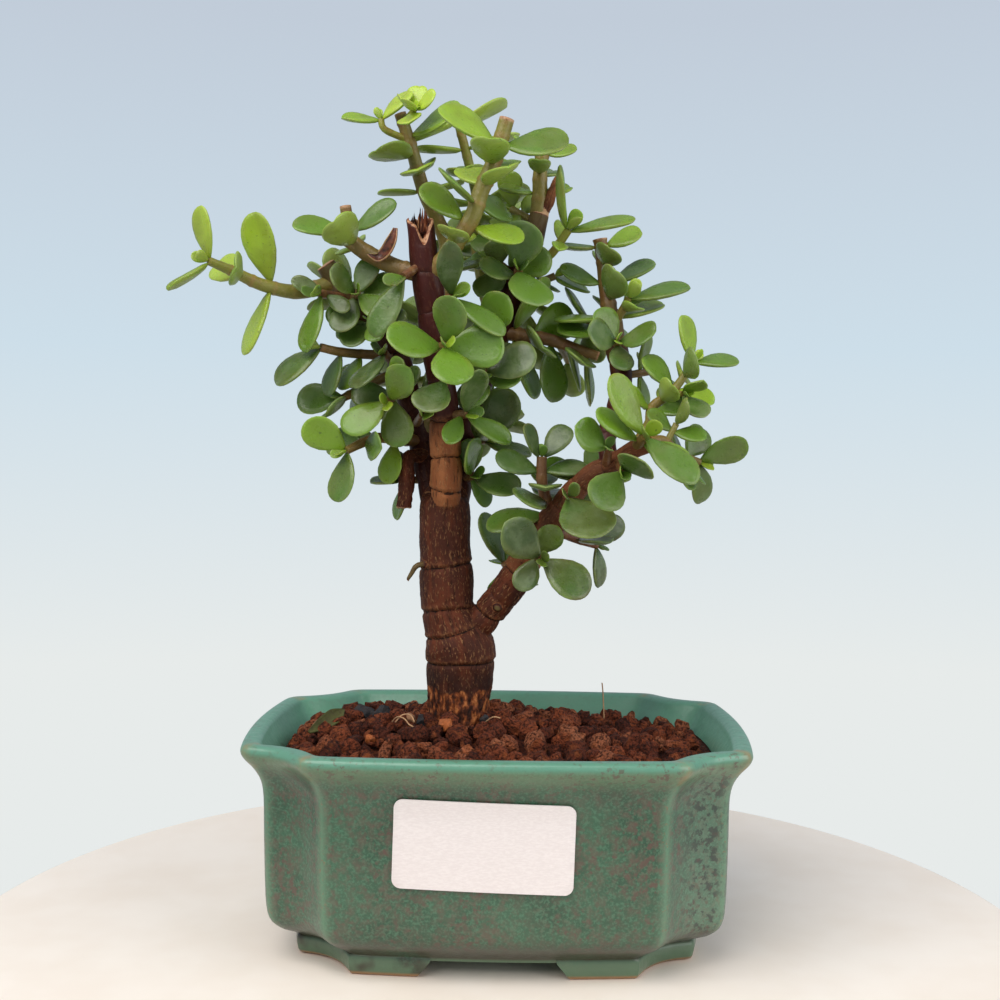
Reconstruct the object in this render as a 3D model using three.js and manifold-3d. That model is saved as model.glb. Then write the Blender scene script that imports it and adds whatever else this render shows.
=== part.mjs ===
// A dwarf jade bonsai in a glazed stoneware pot. Millimetres, +Z up, the pot's front faces -Y.
import * as THREE from "three";
import { mergeVertices } from "three/addons/utils/BufferGeometryUtils.js";
import Module from "manifold-3d";

const wasm = await Module();
wasm.setup();

// The pot's rim: front and back panels, two side panels and four hollow corners between them.
const RIM_HALF_WIDTH = 57.9;
const RIM_HALF_DEPTH = 41;
const FRONT_PANEL_HALF = 42.4;
const SIDE_PANEL_HALF = 29.7;
const FRONT_BOW = 1.6;
const SIDE_BOW = 2.4;
const CORNER_HOLLOW = 2.6;
const FRONT_NARROWING = 0.82;
const SIDE_NARROWING = [0.6, 0.036];
// The pot's section as [height, distance in from the rim's outline]: the outside up, the inside down.
const POT_OUTSIDE = [
  [4.0, 11.6], [5.2, 9.3], [7.4, 7.2], [10.5, 5.8], [16, 5.1], [30, 4.8], [39, 4.7],
  [43.2, 4.1], [46.2, 2.7], [48.4, 1.0], [49.6, 0.25], [50.7, 0], [51.8, 0.4], [52.2, 1.3],
];
const POT_INSIDE = [
  [52.2, 3.0], [51.6, 4.1], [50.0, 4.9], [46, 7.2], [41, 8.9], [28, 9.5], [14, 10.6], [9, 13.5],
];
const FOOT_HEIGHT = 5;
const FOOT_OUTER = [12.6, 11.4];
const FOOT_INNER = 21;
const FRONT_GAP = [17.4, 14.2];
const SIDE_GAP = [10, 8];
const FOOT_CROWN = 4.1;
const DRAIN_RADIUS = 6;
const DRAIN_OFFSET = 22;

// Plastic mesh squares over the two drainage holes.
const MESH_SIDE = 19;
const MESH_THICK = 0.8;
const MESH_OPENING = 3.6;
const MESH_PITCH = 5.2;

// Soil: a bed that follows the inside of the pot, mounded to the trunk, under a cover of lava grains.
const GAP = 0.35;
const SOIL_TOLERANCE = 0.15;
const BED_EDGE = 46.2;
const MOUND_RISE = 5.2;
const MOUND_REACH = [34, 25];
const GRAIN_COUNT = 70;
const GRAIN_RADIUS = [2.0, 3.7];
const GRAIN_SEED = 41;
const GRAIN_TRIES = 6000;
const GRAIN_CROWDING = 0.92;
const GRAIN_RISE = 0.25;
// A grain's three half sizes and the reach of its corners, each a least share of its radius and the play.
const GRAIN_STRETCH = [[0.8, 0.3], [0.65, 0.3], [0.6, 0.25]];
const GRAIN_CORNER = [0.62, 0.26];
const BED_LEVELS = [14, 28, 41];
const BED_TOP_SHARES = [0.7, 0.35];
const FULL_TURN = 2 * Math.PI;
const CUBE_CORNERS = [
  [-1, -1, -1], [1, -1, -1], [1, 1, -1], [-1, 1, -1], [-1, -1, 1], [1, -1, 1], [1, 1, 1], [-1, 1, 1],
];
const STEM_FOOT = 29;
const TRUNK_CLEARANCE = 7;
const SOIL_TOP = 70;

// A blank paper label stuck on the front wall.
const LABEL_SIZE = [40, 20];
const LABEL_THICK = 0.5;
const LABEL_CORNER = 2;
const LABEL_CENTRE = [-2.2, 32.6];
const LABEL_TILT = 0.028;

// Woody stems, each a route of [x, y, z, radius].
const WOOD = {
  trunk: [
    [-10, 4, STEM_FOOT, 7.2], [-10, 4, 46, 7.5], [-10, 4, 56, 7.8], [-10, 4, 63, 8.3], [-10, 4, 70, 8.6],
    [-11.5, 4, 75, 7.3], [-13, 4, 80, 6.5], [-13.5, 4, 90, 6.6], [-14, 4, 98, 6.4], [-14, 4, 106, 6.1],
  ],
  front: [
    [-13.5, 1, 103, 4.0], [-13.4, 0, 110, 3.7], [-13.5, -2, 122, 3.6], [-14, -4, 130, 3.5],
    [-15, -6, 139, 3.1], [-16.5, -7, 150, 3.2], [-18, -8, 162, 3.6], [-19, -8, 170, 3.4],
    [-19.5, -8, 175, 3.4],
  ],
  left: [
    [-16, 6, 102, 3.4], [-18.5, 9, 112, 2.9], [-21, 12, 122, 2.9], [-24, 12, 133, 2.8], [-27, 10, 144, 2.8],
    [-33, 8, 151, 2.8], [-38, 6, 157, 2.9], [-42, 4, 162, 2.7], [-44, 3, 165, 2.5],
  ],
  right: [
    [-12, 6, 103, 3.6], [-10.5, 8, 113, 3.3], [-9.5, 9, 124, 3.2], [-6, 10, 135, 3.2], [-3, 9, 145, 3.3],
    [0, 8, 153, 3.4], [4, 6, 162, 3.4], [7, 5, 171, 2.9], [9, 5, 178, 2.5],
  ],
  low: [
    [-9, 4, 69, 4.4], [-6, 3, 75, 4.0], [-2, 2, 80, 3.8], [2, 0, 85, 3.7], [6, -2, 92, 3.7], [9, -4, 97, 3.4],
    [13, -7, 103, 3.2], [17, -10, 109, 2.7], [22, -13, 114, 2.4], [27, -16, 117, 2.2], [31, -19, 120, 2.2],
    [35, -21, 122, 2.3],
  ],
  leader: [
    [26, -15, 116, 2.2], [25, -13, 122, 2.2], [27, -10, 128, 2.1], [29, -6, 134, 2.3], [29, -2, 140, 2.5],
    [28, 2, 146, 2.6], [27, 5, 152, 2.6],
  ],
};
// Dry snags on the wood: a withered stub low on the left, a broken peg high on the right, a dead twig.
const SNAGS = [
  [[-20, 9, 118, 1.6], [-23.5, 4, 117, 1.8], [-23.5, 3, 110, 2.0], [-24, 3, 105, 1.7]],
  [[9, 5, 176, 1.5], [12, 4, 183, 1.2], [13.6, 4, 187, 0.9]],
  [[-17, 1, 91, 1.1], [-21.5, -1, 91, 1.2], [-22.6, -1, 88, 0.7]],
];
// Ring scars round the stems, as the distance along each from its foot.
const SCARS = {
  trunk: [38.6, 45.4, 51, 62],
  front: [6.5, 14.5, 26],
  low: [12, 25, 38],
  right: [60],
  left: [44],
};
const SCAR_DEPTH = 0.5;
const SCAR_HALF = 0.7;
const SCAR_LIP = 0.12;
const SECTION_STEP = 8;
const TRUNK_SIDES = 12;
const BRANCH_SIDES = 7;
const SNAG_SIDES = 6;
const TWIG_SIDES = 5;
const TWIG_TOLERANCE = 0.04;

// Leafy stems. on: the stem that it grows from, at: how far along it, way: the route's next points,
// thick: radius at the foot and the tip, turns: each leaf pair's angle round the stem in degrees,
// span: where the first and last pair stand, leaf: their leaf lengths, wide: leaf width to length,
// open: how far pairs open along the stem and at its tip, where that isn't the usual OPENING.
const SPRIGS = {
  crown_rear: { on: "right", at: 0.59, way: [[-7, 17, 171], [-7, 18, 183], [-9, 17, 192], [-12, 15, 203]],
    thick: [1.7, 1.1], turns: [0, 90, 0, 90, 0, 30], span: [0.4, 1], leaf: [11, 13], wide: 0.79,
    open: [84, 96] },
  crown_left: { on: "left", at: 0.29,
    way: [
      [-18, 14, 137], [-15, 14, 150], [-14, 14, 161], [-15, 13, 173], [-20, 10, 184], [-23, 8, 194],
      [-26, 7, 203],
    ],
    thick: [2.4, 1.5], turns: [0, 90, 60, 0], span: [0.77, 0.93], leaf: [10.5, 14], wide: 0.74 },
  crown_left_twig: { on: "crown_left", at: 0.92, way: [[-29.5, 5, 198.5], [-30.5, 5, 201]],
    thick: [0.9, 0.8], turns: [0], span: [1, 1], leaf: [9, 9], wide: 0.74, open: [80, 66] },
  crown_left_tip: { on: "crown_left", at: 0.97, way: [[-22, 3, 203]],
    thick: [0.9, 0.7], turns: [90, 0], span: [0.8, 1], leaf: [7.5, 7], wide: 0.82 },
  crown_front: { on: "front", at: 0.79,
    way: [[-14, -10, 164], [-11, -11, 168], [-7, -12, 174], [-5, -12, 180], [-2, -12, 187], [1, -12, 197]],
    thick: [2.3, 1.8], turns: [90, 0, 60, 120, 90, 0], span: [0.28, 0.86], leaf: [10.5, 14], wide: 0.74 },
  shoulder: { on: "front", at: 0.81, way: [[-25, -6, 163], [-33, -4, 167], [-37, -4, 170]],
    thick: [2.2, 1.9], turns: [90], span: [0.93, 0.93], leaf: [12.5, 12.5], wide: 0.74 },
  shoulder_peg: { on: "shoulder", at: 0.98, way: [[-38, -4, 178]],
    thick: [1.5, 1.4], turns: [0], span: [0.3, 0.3], leaf: [11.5, 11.5], wide: 0.6 },
  crown_right: { on: "right", at: 0.97, way: [[9, 5, 182], [9, 5, 188], [10, 5, 197]],
    thick: [2.2, 1.6], turns: [0, 70, 0], span: [0.35, 0.8], leaf: [8.5, 7], wide: 0.74 },
  right_whorl: { on: "right", at: 0.88, way: [[11, 2, 167], [16, -2, 173]],
    thick: [1.2, 1.0], turns: [90, 0], span: [0.75, 1], leaf: [9, 15], wide: 0.44, open: [80, 46] },
  leader_top: { on: "leader", at: 0.96, way: [[26, 6, 158], [25, 6, 166], [24, 6, 172]],
    thick: [2.1, 1.7], turns: [0, 90, 0, 90, 0], span: [0.1, 0.92], leaf: [12, 9.5], wide: 0.74 },
  leader_outer: { on: "leader", at: 0.94, way: [[31, 1, 157]],
    thick: [1.1, 0.9], turns: [90, 0], span: [0.7, 1], leaf: [9, 14.5], wide: 0.62 },
  leader_front: { on: "leader", at: 0.81, way: [[28, -5, 146]],
    thick: [1.2, 0.9], turns: [90, 5], span: [0.7, 1], leaf: [9, 9.5], wide: 0.82 },
  leader_rear: { on: "leader", at: 0.9, way: [[22, 12, 152]],
    thick: [1.1, 0.9], turns: [0, 90, 40], span: [0.4, 1], leaf: [10.5, 9.5], wide: 0.82 },
  crossing: { on: "right", at: 0.61, way: [[6, 7, 148], [12, 6, 147], [18, 6, 145], [24, 6, 143]],
    thick: [2.0, 1.2], turns: [5, 100, 0, 70, 20], span: [0.18, 0.9], leaf: [15, 12], wide: 0.74,
    open: [66, 54] },
  far_right_upper: { on: "low", at: 0.93, way: [[35, -14, 126], [36, -10, 130], [41, -9, 134], [46, -8, 141]],
    thick: [1.4, 0.9], turns: [0, 90, 0, 90, 0], span: [0.45, 1], leaf: [8.5, 10], wide: 0.74 },
  far_right_front: { on: "far_right_upper", at: 0.66, way: [[43, -13, 133]],
    thick: [0.9, 0.8], turns: [60, 0, 90], span: [0.4, 1], leaf: [8, 8], wide: 0.74 },
  leader_middle: { on: "leader", at: 0.6, way: [[36, 2, 139]],
    thick: [1.0, 0.9], turns: [0, 90, 20], span: [0.4, 1], leaf: [9.5, 8.5], wide: 0.82 },
  far_right_lower: { on: "low", at: 0.99, way: [[38, -18, 122], [42, -15, 119], [47, -14, 117]],
    thick: [1.3, 0.9], turns: [0, 90, -40, 20], span: [0.4, 1], leaf: [9, 10.5], wide: 0.74 },
  far_right_bud: { on: "far_right_lower", at: 0.35, way: [[41, -17, 126]],
    thick: [0.8, 0.7], turns: [0, 90], span: [0.6, 1], leaf: [7.5, 7], wide: 0.74 },
  low_end: { on: "low", at: 0.94, way: [[33, -25, 123]],
    thick: [1.4, 1.1], turns: [165, 130], span: [0.6, 1], leaf: [11.5, 15.5], wide: 0.54, open: [66, 66] },
  low_under: { on: "low", at: 0.87, way: [[28, -24, 115]],
    thick: [1.1, 0.9], turns: [235], span: [1, 1], leaf: [11, 11], wide: 0.88 },
  low_over: { on: "low", at: 0.82, way: [[25, -23, 120]],
    thick: [1.1, 0.9], turns: [172], span: [1, 1], leaf: [10.5, 10.5], wide: 0.8 },
  low_upright: { on: "low", at: 0.55, way: [[11, -7, 108], [10, -8, 113], [10, -8, 118]],
    thick: [1.6, 1.2], turns: [0, 60, 90, 0, 20], span: [0.13, 1], leaf: [14, 9], wide: 0.68,
    open: [78, 40] },
  low_front: { on: "low", at: 0.42, way: [[10, -13, 94]],
    thick: [1.2, 1.0], turns: [60, 145], span: [0.6, 1], leaf: [9, 12.5], wide: 0.74, open: [80, 68] },
  low_disc: { on: "low", at: 0.6, way: [[16, -17, 109]],
    thick: [1.2, 1.0], turns: [-60], span: [1, 1], leaf: [13.5, 13.5], wide: 0.95, open: [80, 76] },
  low_rear: { on: "low", at: 0.53, way: [[18, -1, 98], [24, 3, 96]],
    thick: [1.1, 0.9], turns: [90, 10], span: [0.6, 1], leaf: [9.5, 9.5], wide: 0.74, open: [80, 64] },
  low_inner: { on: "low", at: 0.32, way: [[1, 5, 91]],
    thick: [1.0, 0.9], turns: [-60, -130], span: [0.7, 1], leaf: [8.5, 14], wide: 0.6, open: [80, 72] },
  trunk_leaf: { on: "right", at: 0.12, way: [[-7, 3, 113]],
    thick: [1.1, 1.0], turns: [-90, -35], span: [0.8, 1], leaf: [9, 11.5], wide: 0.74 },
  middle_right: { on: "front", at: 0.35, way: [[-8, -8, 128]],
    thick: [1.1, 1.0], turns: [40, -60], span: [0.8, 1], leaf: [10, 12.5], wide: 0.52 },
  middle_rear: { on: "right", at: 0.24, way: [[-4, 6, 122]],
    thick: [1.1, 1.0], turns: [90, 0], span: [0.7, 1], leaf: [11, 13.5], wide: 0.74 },
  front_whorl: { on: "front", at: 0.56, way: [[-13, -15, 144]],
    thick: [1.4, 1.1], turns: [175, 90], span: [0.8, 1], leaf: [13.5, 12.5], wide: 0.8, open: [74, 56] },
  front_drop: { on: "front", at: 0.42, way: [[-13, -12, 136]],
    thick: [1.1, 1.0], turns: [275], span: [1, 1], leaf: [10.5, 10.5], wide: 0.95, open: [80, 84] },
  front_right: { on: "right", at: 0.47, way: [[-4, -6, 138]],
    thick: [1.3, 1.0], turns: [50, -35, 20], span: [0.6, 1], leaf: [10, 12], wide: 0.74, open: [84, 66] },
  front_upper: { on: "right", at: 0.58, way: [[-5, -5, 148]],
    thick: [1.2, 1.0], turns: [45], span: [1, 1], leaf: [11, 11], wide: 0.84, open: [80, 62] },
  front_hanging: { on: "front", at: 0.71, way: [[-11.5, -12, 155.5]],
    thick: [1.1, 1.0], turns: [150], span: [1, 1], leaf: [15, 15], wide: 0.46 },
  right_disc: { on: "right", at: 0.74, way: [[4, -4, 163]],
    thick: [1.2, 1.0], turns: [0, 270], span: [0.8, 1], leaf: [9, 11.5], wide: 0.95, open: [84, 70] },
  heart_left: { on: "right", at: 0.79, way: [[-3, 4, 167]],
    thick: [1.0, 0.9], turns: [0, 90, 30], span: [0.4, 1], leaf: [10.5, 9.5], wide: 0.79 },
  heart_right: { on: "right", at: 0.74, way: [[13, 7, 163]],
    thick: [1.1, 0.9], turns: [0, 90, 30], span: [0.4, 1], leaf: [11.5, 10], wide: 0.74 },
  heart_upper: { on: "right", at: 0.97, way: [[2, 10, 180]],
    thick: [1.0, 0.9], turns: [0, 90], span: [0.6, 1], leaf: [9.5, 9], wide: 0.74 },
  left_hanging: { on: "front", at: 0.85, way: [[-23, -13, 160]],
    thick: [1.1, 1.0], turns: [-80], span: [1, 1], leaf: [15, 15], wide: 0.48 },
  left_inner: { on: "left", at: 0.84, way: [[-35, -5, 157]],
    thick: [1.2, 1.0], turns: [20, 85, 147], span: [0.5, 1], leaf: [10, 10], wide: 0.74 },
  left_drop: { on: "left", at: 0.85, way: [[-44, -4, 157]],
    thick: [1.2, 1.0], turns: [175, 270], span: [0.85, 1], leaf: [8.5, 15], wide: 0.52, open: [80, 88] },
  far_left: { on: "left", at: 0.93, way: [[-50, 1, 158], [-58, -3, 159], [-65, -6, 162], [-70, -9, 164]],
    thick: [2.1, 1.0], turns: [0, 90, 0], span: [0.52, 1], leaf: [16, 12], wide: 0.6, open: [75, 60] },
  left_middle: { on: "left", at: 0.72, way: [[-32, -3, 151]],
    thick: [1.1, 0.9], turns: [0, 60, 110], span: [0.5, 1], leaf: [8.5, 8.5], wide: 0.82 },
  left_outer: { on: "left", at: 0.6, way: [[-38, 0, 143], [-44, -4, 144]],
    thick: [1.3, 1.0], turns: [90, 0, 150], span: [0.5, 1], leaf: [9.5, 12.5], wide: 0.74, open: [80, 42] },
  left_broad: { on: "left", at: 0.55, way: [[-29, 0, 143]],
    thick: [1.1, 1.0], turns: [-110], span: [1, 1], leaf: [14, 14], wide: 0.64 },
  lower_whorl: { on: "left", at: 0.49, way: [[-27, -8, 131]],
    thick: [1.4, 1.0], turns: [0, 84, -148], span: [0.6, 1], leaf: [10.5, 12.5], wide: 0.74, open: [76, 60] },
  lower_left: { on: "left", at: 0.55, way: [[-34, 4, 135], [-39, 1, 132]],
    thick: [1.3, 1.0], turns: [0, 90, 10], span: [0.5, 1], leaf: [10, 11.5], wide: 0.74, open: [78, 50] },
  lower_outer: { on: "left", at: 0.29, way: [[-26, 4, 122], [-31, -3, 122], [-37, -8, 119]],
    thick: [1.7, 1.0], turns: [90, 0, 36, 110], span: [0.4, 1], leaf: [9.5, 11.5], wide: 0.74,
    open: [76, 62] },
  lower_long: { on: "left", at: 0.35, way: [[-19, -3, 128]],
    thick: [1.1, 1.0], turns: [238], span: [1, 1], leaf: [16.5, 16.5], wide: 0.44, open: [80, 80] },
  lower_stub: { on: "left", at: 0.14, way: [[-25, 9, 112]],
    thick: [1.0, 0.9], turns: [0, 90], span: [0.8, 1], leaf: [9.5, 9.5], wide: 0.79 },
  rear_lower: { on: "right", at: 0.3, way: [[-5, 19, 128]],
    thick: [1.2, 1.0], turns: [0, 90, 30], span: [0.45, 1], leaf: [12, 11.5], wide: 0.79 },
  rear_upper: { on: "right", at: 0.66, way: [[7, 17, 158]],
    thick: [1.2, 1.0], turns: [0, 90, 30], span: [0.45, 1], leaf: [12, 11.5], wide: 0.79 },
  rear_left: { on: "left", at: 0.5, way: [[-27, 22, 138]],
    thick: [1.2, 1.0], turns: [0, 90, 30], span: [0.45, 1], leaf: [12, 11.5], wide: 0.79 },
  rear_far_left: { on: "left", at: 0.8, way: [[-41, 16, 161]],
    thick: [1.2, 1.0], turns: [0, 90, 30], span: [0.45, 1], leaf: [11, 11], wide: 0.79 },
  rear_low: { on: "low", at: 0.7, way: [[21, -2, 113]],
    thick: [1.1, 0.9], turns: [0, 90], span: [0.7, 1], leaf: [10.5, 10], wide: 0.74 },
  rear_crown_low: { on: "crown_left", at: 0.38, way: [[-21, 24, 152]],
    thick: [1.2, 1.0], turns: [0, 90], span: [0.7, 1], leaf: [12, 11], wide: 0.79 },
  rear_crown_high: { on: "crown_left", at: 0.6, way: [[-12, 23, 173]],
    thick: [1.2, 1.0], turns: [0, 90], span: [0.7, 1], leaf: [11, 11], wide: 0.79 },
  rear_crown_right: { on: "crown_rear", at: 0.5, way: [[-1, 25, 180]],
    thick: [1.0, 0.9], turns: [0, 90], span: [0.7, 1], leaf: [11, 10], wide: 0.79 },
  rear_crossing: { on: "crossing", at: 0.6, way: [[17, 22, 143]],
    thick: [1.0, 0.9], turns: [0, 90], span: [0.7, 1], leaf: [11, 10], wide: 0.79 },
};

// The leaf rule: how far a pair opens along the stem and at its tip in degrees, the random play of each
// leaf and the room round it.
const OPENING = [80, 54];
const TURN_PLAY = 9;
const OPEN_PLAY = 8;
const ROLL_PLAY = 18;
const SIZE_PLAY = 0.07;
const CROWN_AXIS = [-8, 15];
const CROWN_REACH = [60, 18];
const LIGHT_LIFT = 0.7;
const LIGHT_PULL = 0.74;
const LEAF_SEED = 7;
const LEAF_BEND = 0.07;
const LEAF_HALF_THICK = 1.0;
const LEAF_SINK = 1.1;
const ROOT_DEPTH = 0.4;
const TIP_SHARE = 0.97;
// Room between blades of different nodes, between kin blades as a share of it, and round a stem; the tests
// of kin blades and of a blade's own stem start this far along the blade.
const LEAF_ROOM = 1.65;
const KIN_ROOM = 0.6;
const STEM_ROOM = 1.1;
const KIN_START = 0.4;
const STEM_START = 0.45;
const BLADE_MIDDLE = 0.52;
const BLADE_MARGIN = [0.5, 0.6];
// Ways to move a leaf that meets another: turn round the stem, change of opening, size.
const LEAF_MOVES = [
  [0, 0, 1], [14, 0, 1], [-14, 0, 1], [0, -14, 1], [0, 14, 1], [26, 0, 0.95], [-26, 0, 0.95], [18, -18, 0.9],
  [-18, -18, 0.9], [18, 18, 0.9], [-18, 18, 0.9], [0, -28, 0.85], [38, 0, 0.85], [-38, 0, 0.85],
  [30, -25, 0.8], [-30, -25, 0.8], [0, 28, 0.78],
];

const COLOURS = {
  pot: [0x4d8a70, 0.35],
  soil: [0x6b3626, 0.95],
  wood: [0x5a3526, 0.8],
  leaf: [0x6f9a3e, 0.45],
  label: [0xf1f0ee, 0.6],
  mesh: [0x2c2f2e, 0.6],
};

function randomFrom(seed) {
  let state = seed >>> 0;
  return () => {
    state = (state + 0x6d2b79f5) >>> 0;
    let t = state;
    t = Math.imul(t ^ (t >>> 15), t | 1);
    t ^= t + Math.imul(t ^ (t >>> 7), t | 61);
    return ((t ^ (t >>> 14)) >>> 0) / 4294967296;
  };
}

// A solid from its corner points and triangles.
function solidOf(points, faces) {
  const vertProperties = new Float32Array(points.flat());
  const triVerts = new Uint32Array(faces.flat());
  return new wasm.Manifold(new wasm.Mesh({ numProp: 3, vertProperties, triVerts }));
}

function solidFromGeometry(geometry) {
  const bare = geometry.clone();
  bare.deleteAttribute("normal");
  bare.deleteAttribute("uv");
  const merged = mergeVertices(bare, 1e-4);
  const vertProperties = new Float32Array(merged.attributes.position.array);
  const triVerts = new Uint32Array(merged.index.array);
  return new wasm.Manifold(new wasm.Mesh({ numProp: 3, vertProperties, triVerts }));
}

// A closed skin through rings of points, each end closed by a fan round its centre.
function skin(rings) {
  const count = rings[0].length;
  const points = rings.flat();
  const faces = [];
  for (let ring = 0; ring + 1 < rings.length; ring += 1) {
    for (let k = 0; k < count; k += 1) {
      const a = ring * count + k;
      const b = ring * count + ((k + 1) % count);
      faces.push([a, b, b + count], [a, b + count, a + count]);
    }
  }
  const ends = [[0, true], [rings.length - 1, false]];
  for (const [ring, isFoot] of ends) {
    const centre = [0, 1, 2].map((axis) => rings[ring].reduce((sum, p) => sum + p[axis], 0) / count);
    const hub = points.push(centre) - 1;
    for (let k = 0; k < count; k += 1) {
      const a = ring * count + k;
      const b = ring * count + ((k + 1) % count);
      faces.push(isFoot ? [hub, b, a] : [hub, a, b]);
    }
  }
  return solidOf(points, faces);
}

// A ring-shaped skin: the last ring joins the first.
function loopSkin(rings) {
  const count = rings[0].length;
  const faces = [];
  rings.forEach((_, ring) => {
    const next = (ring + 1) % rings.length;
    for (let k = 0; k < count; k += 1) {
      const step = (k + 1) % count;
      faces.push([ring * count + k, ring * count + step, next * count + step]);
      faces.push([ring * count + k, next * count + step, next * count + k]);
    }
  });
  return solidOf(rings.flat(), faces);
}

// The pot's outline, anticlockwise from above, drawn in from the rim by a distance.
function potOutline(inset, height) {
  const w = RIM_HALF_WIDTH - inset;
  const d = RIM_HALF_DEPTH - inset;
  const front = FRONT_PANEL_HALF - FRONT_NARROWING * inset;
  const side = SIDE_PANEL_HALF - SIDE_NARROWING[0] * inset - SIDE_NARROWING[1] * inset * inset;
  const edges = [
    [-front, -d, front, -d, FRONT_BOW, 4], [front, -d, w, -side, -CORNER_HOLLOW, 3],
    [w, -side, w, side, SIDE_BOW, 3], [w, side, front, d, -CORNER_HOLLOW, 3],
    [front, d, -front, d, FRONT_BOW, 4], [-front, d, -w, side, -CORNER_HOLLOW, 3],
    [-w, side, -w, -side, SIDE_BOW, 3], [-w, -side, -front, -d, -CORNER_HOLLOW, 3],
  ];
  const points = [];
  for (const [x0, y0, x1, y1, bow, steps] of edges) {
    const length = Math.hypot(x1 - x0, y1 - y0);
    const out = [(y1 - y0) / length, -(x1 - x0) / length];
    for (let k = 0; k < steps; k += 1) {
      const t = k / steps;
      const rise = bow * 4 * t * (1 - t);
      points.push([x0 + (x1 - x0) * t + out[0] * rise, y0 + (y1 - y0) * t + out[1] * rise, height]);
    }
  }
  return points;
}

function cylinderAt(x, y, low, high, radius, sides) {
  const geometry = new THREE.CylinderGeometry(radius, radius, high - low, sides);
  geometry.rotateX(Math.PI / 2);
  geometry.translate(x, y, (low + high) / 2);
  return solidFromGeometry(geometry);
}

function boxAt(x, y, z, width, depth, height) {
  const geometry = new THREE.BoxGeometry(width, depth, height);
  geometry.translate(x, y, z);
  return solidFromGeometry(geometry);
}

// The pot: turned-in base, flared rim with a rounded lip, four corner feet and two drainage holes.
function makePot() {
  const section = [...POT_OUTSIDE, ...POT_INSIDE];
  const bowl = skin(section.map(([height, inset]) => potOutline(inset, height)));
  const feet = loopSkin([
    potOutline(FOOT_OUTER[0], 0), potOutline(FOOT_OUTER[1], FOOT_HEIGHT),
    potOutline(FOOT_INNER, FOOT_HEIGHT), potOutline(FOOT_INNER, 0),
  ]);
  const long = 2 * RIM_HALF_WIDTH + 20;
  const arch = (half) => {
    const shape = new THREE.Shape([
      new THREE.Vector2(-half[0], -1), new THREE.Vector2(half[0], -1), new THREE.Vector2(half[0], 0),
      new THREE.Vector2(half[1], FOOT_CROWN), new THREE.Vector2(-half[1], FOOT_CROWN),
      new THREE.Vector2(-half[0], 0),
    ]);
    const geometry = new THREE.ExtrudeGeometry(shape, { depth: long, bevelEnabled: false });
    geometry.translate(0, 0, -long / 2);
    geometry.rotateX(Math.PI / 2);
    return geometry;
  };
  const frontGap = solidFromGeometry(arch(FRONT_GAP));
  const sideGap = solidFromGeometry(arch(SIDE_GAP).rotateZ(Math.PI / 2));
  const corners = feet.subtract(frontGap).subtract(sideGap);
  let pot = bowl.add(corners);
  for (const x of [-DRAIN_OFFSET, DRAIN_OFFSET]) {
    pot = pot.subtract(cylinderAt(x, 0, 0, 12, DRAIN_RADIUS, 16));
  }
  return pot;
}

// One square of drainage mesh, lying on the pot's floor over a hole.
function makeMesh(x) {
  const middle = POT_INSIDE.at(-1)[0] + GAP + MESH_THICK / 2;
  const opening = [MESH_OPENING, MESH_OPENING, 2 * MESH_THICK];
  let mesh = boxAt(x, 0, middle, MESH_SIDE, MESH_SIDE, MESH_THICK);
  for (const column of [-1, 0, 1]) {
    for (const row of [-1, 0, 1]) {
      const across = x + column * MESH_PITCH;
      mesh = mesh.subtract(boxAt(across, row * MESH_PITCH, middle, ...opening));
    }
  }
  return mesh;
}

// How far in from the rim's outline a wall's section lies at a height.
function insetAt(rows, height) {
  for (let k = 0; k + 1 < rows.length; k += 1) {
    const t = (rows[k][0] - height) / (rows[k][0] - rows[k + 1][0]);
    if (t >= 0 && t <= 1) {
      return rows[k][1] + t * (rows[k + 1][1] - rows[k][1]);
    }
  }
  return rows[0][1];
}

function moundHeight(x, y) {
  const dx = (x - WOOD.trunk[0][0]) / MOUND_REACH[0];
  const dy = (y - WOOD.trunk[0][1]) / MOUND_REACH[1];
  return BED_EDGE + MOUND_RISE * Math.exp(-(dx * dx + dy * dy));
}

// One angular lava grain: an eight-cornered lump, each corner pulled in or out.
function makeGrain(random, x, y, z, radius) {
  const spin = new THREE.Euler(random() * FULL_TURN, random() * FULL_TURN, random() * FULL_TURN);
  const stretch = GRAIN_STRETCH.map(([least, play]) => least + play * random());
  const points = [];
  for (const [sx, sy, sz] of CUBE_CORNERS) {
    const corner = new THREE.Vector3(sx * stretch[0], sy * stretch[1], sz * stretch[2]).applyEuler(spin);
    corner.multiplyScalar(radius * (GRAIN_CORNER[0] + GRAIN_CORNER[1] * random()));
    points.push([x + corner.x, y + corner.y, z + corner.z]);
  }
  return wasm.Manifold.hull(points);
}

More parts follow.
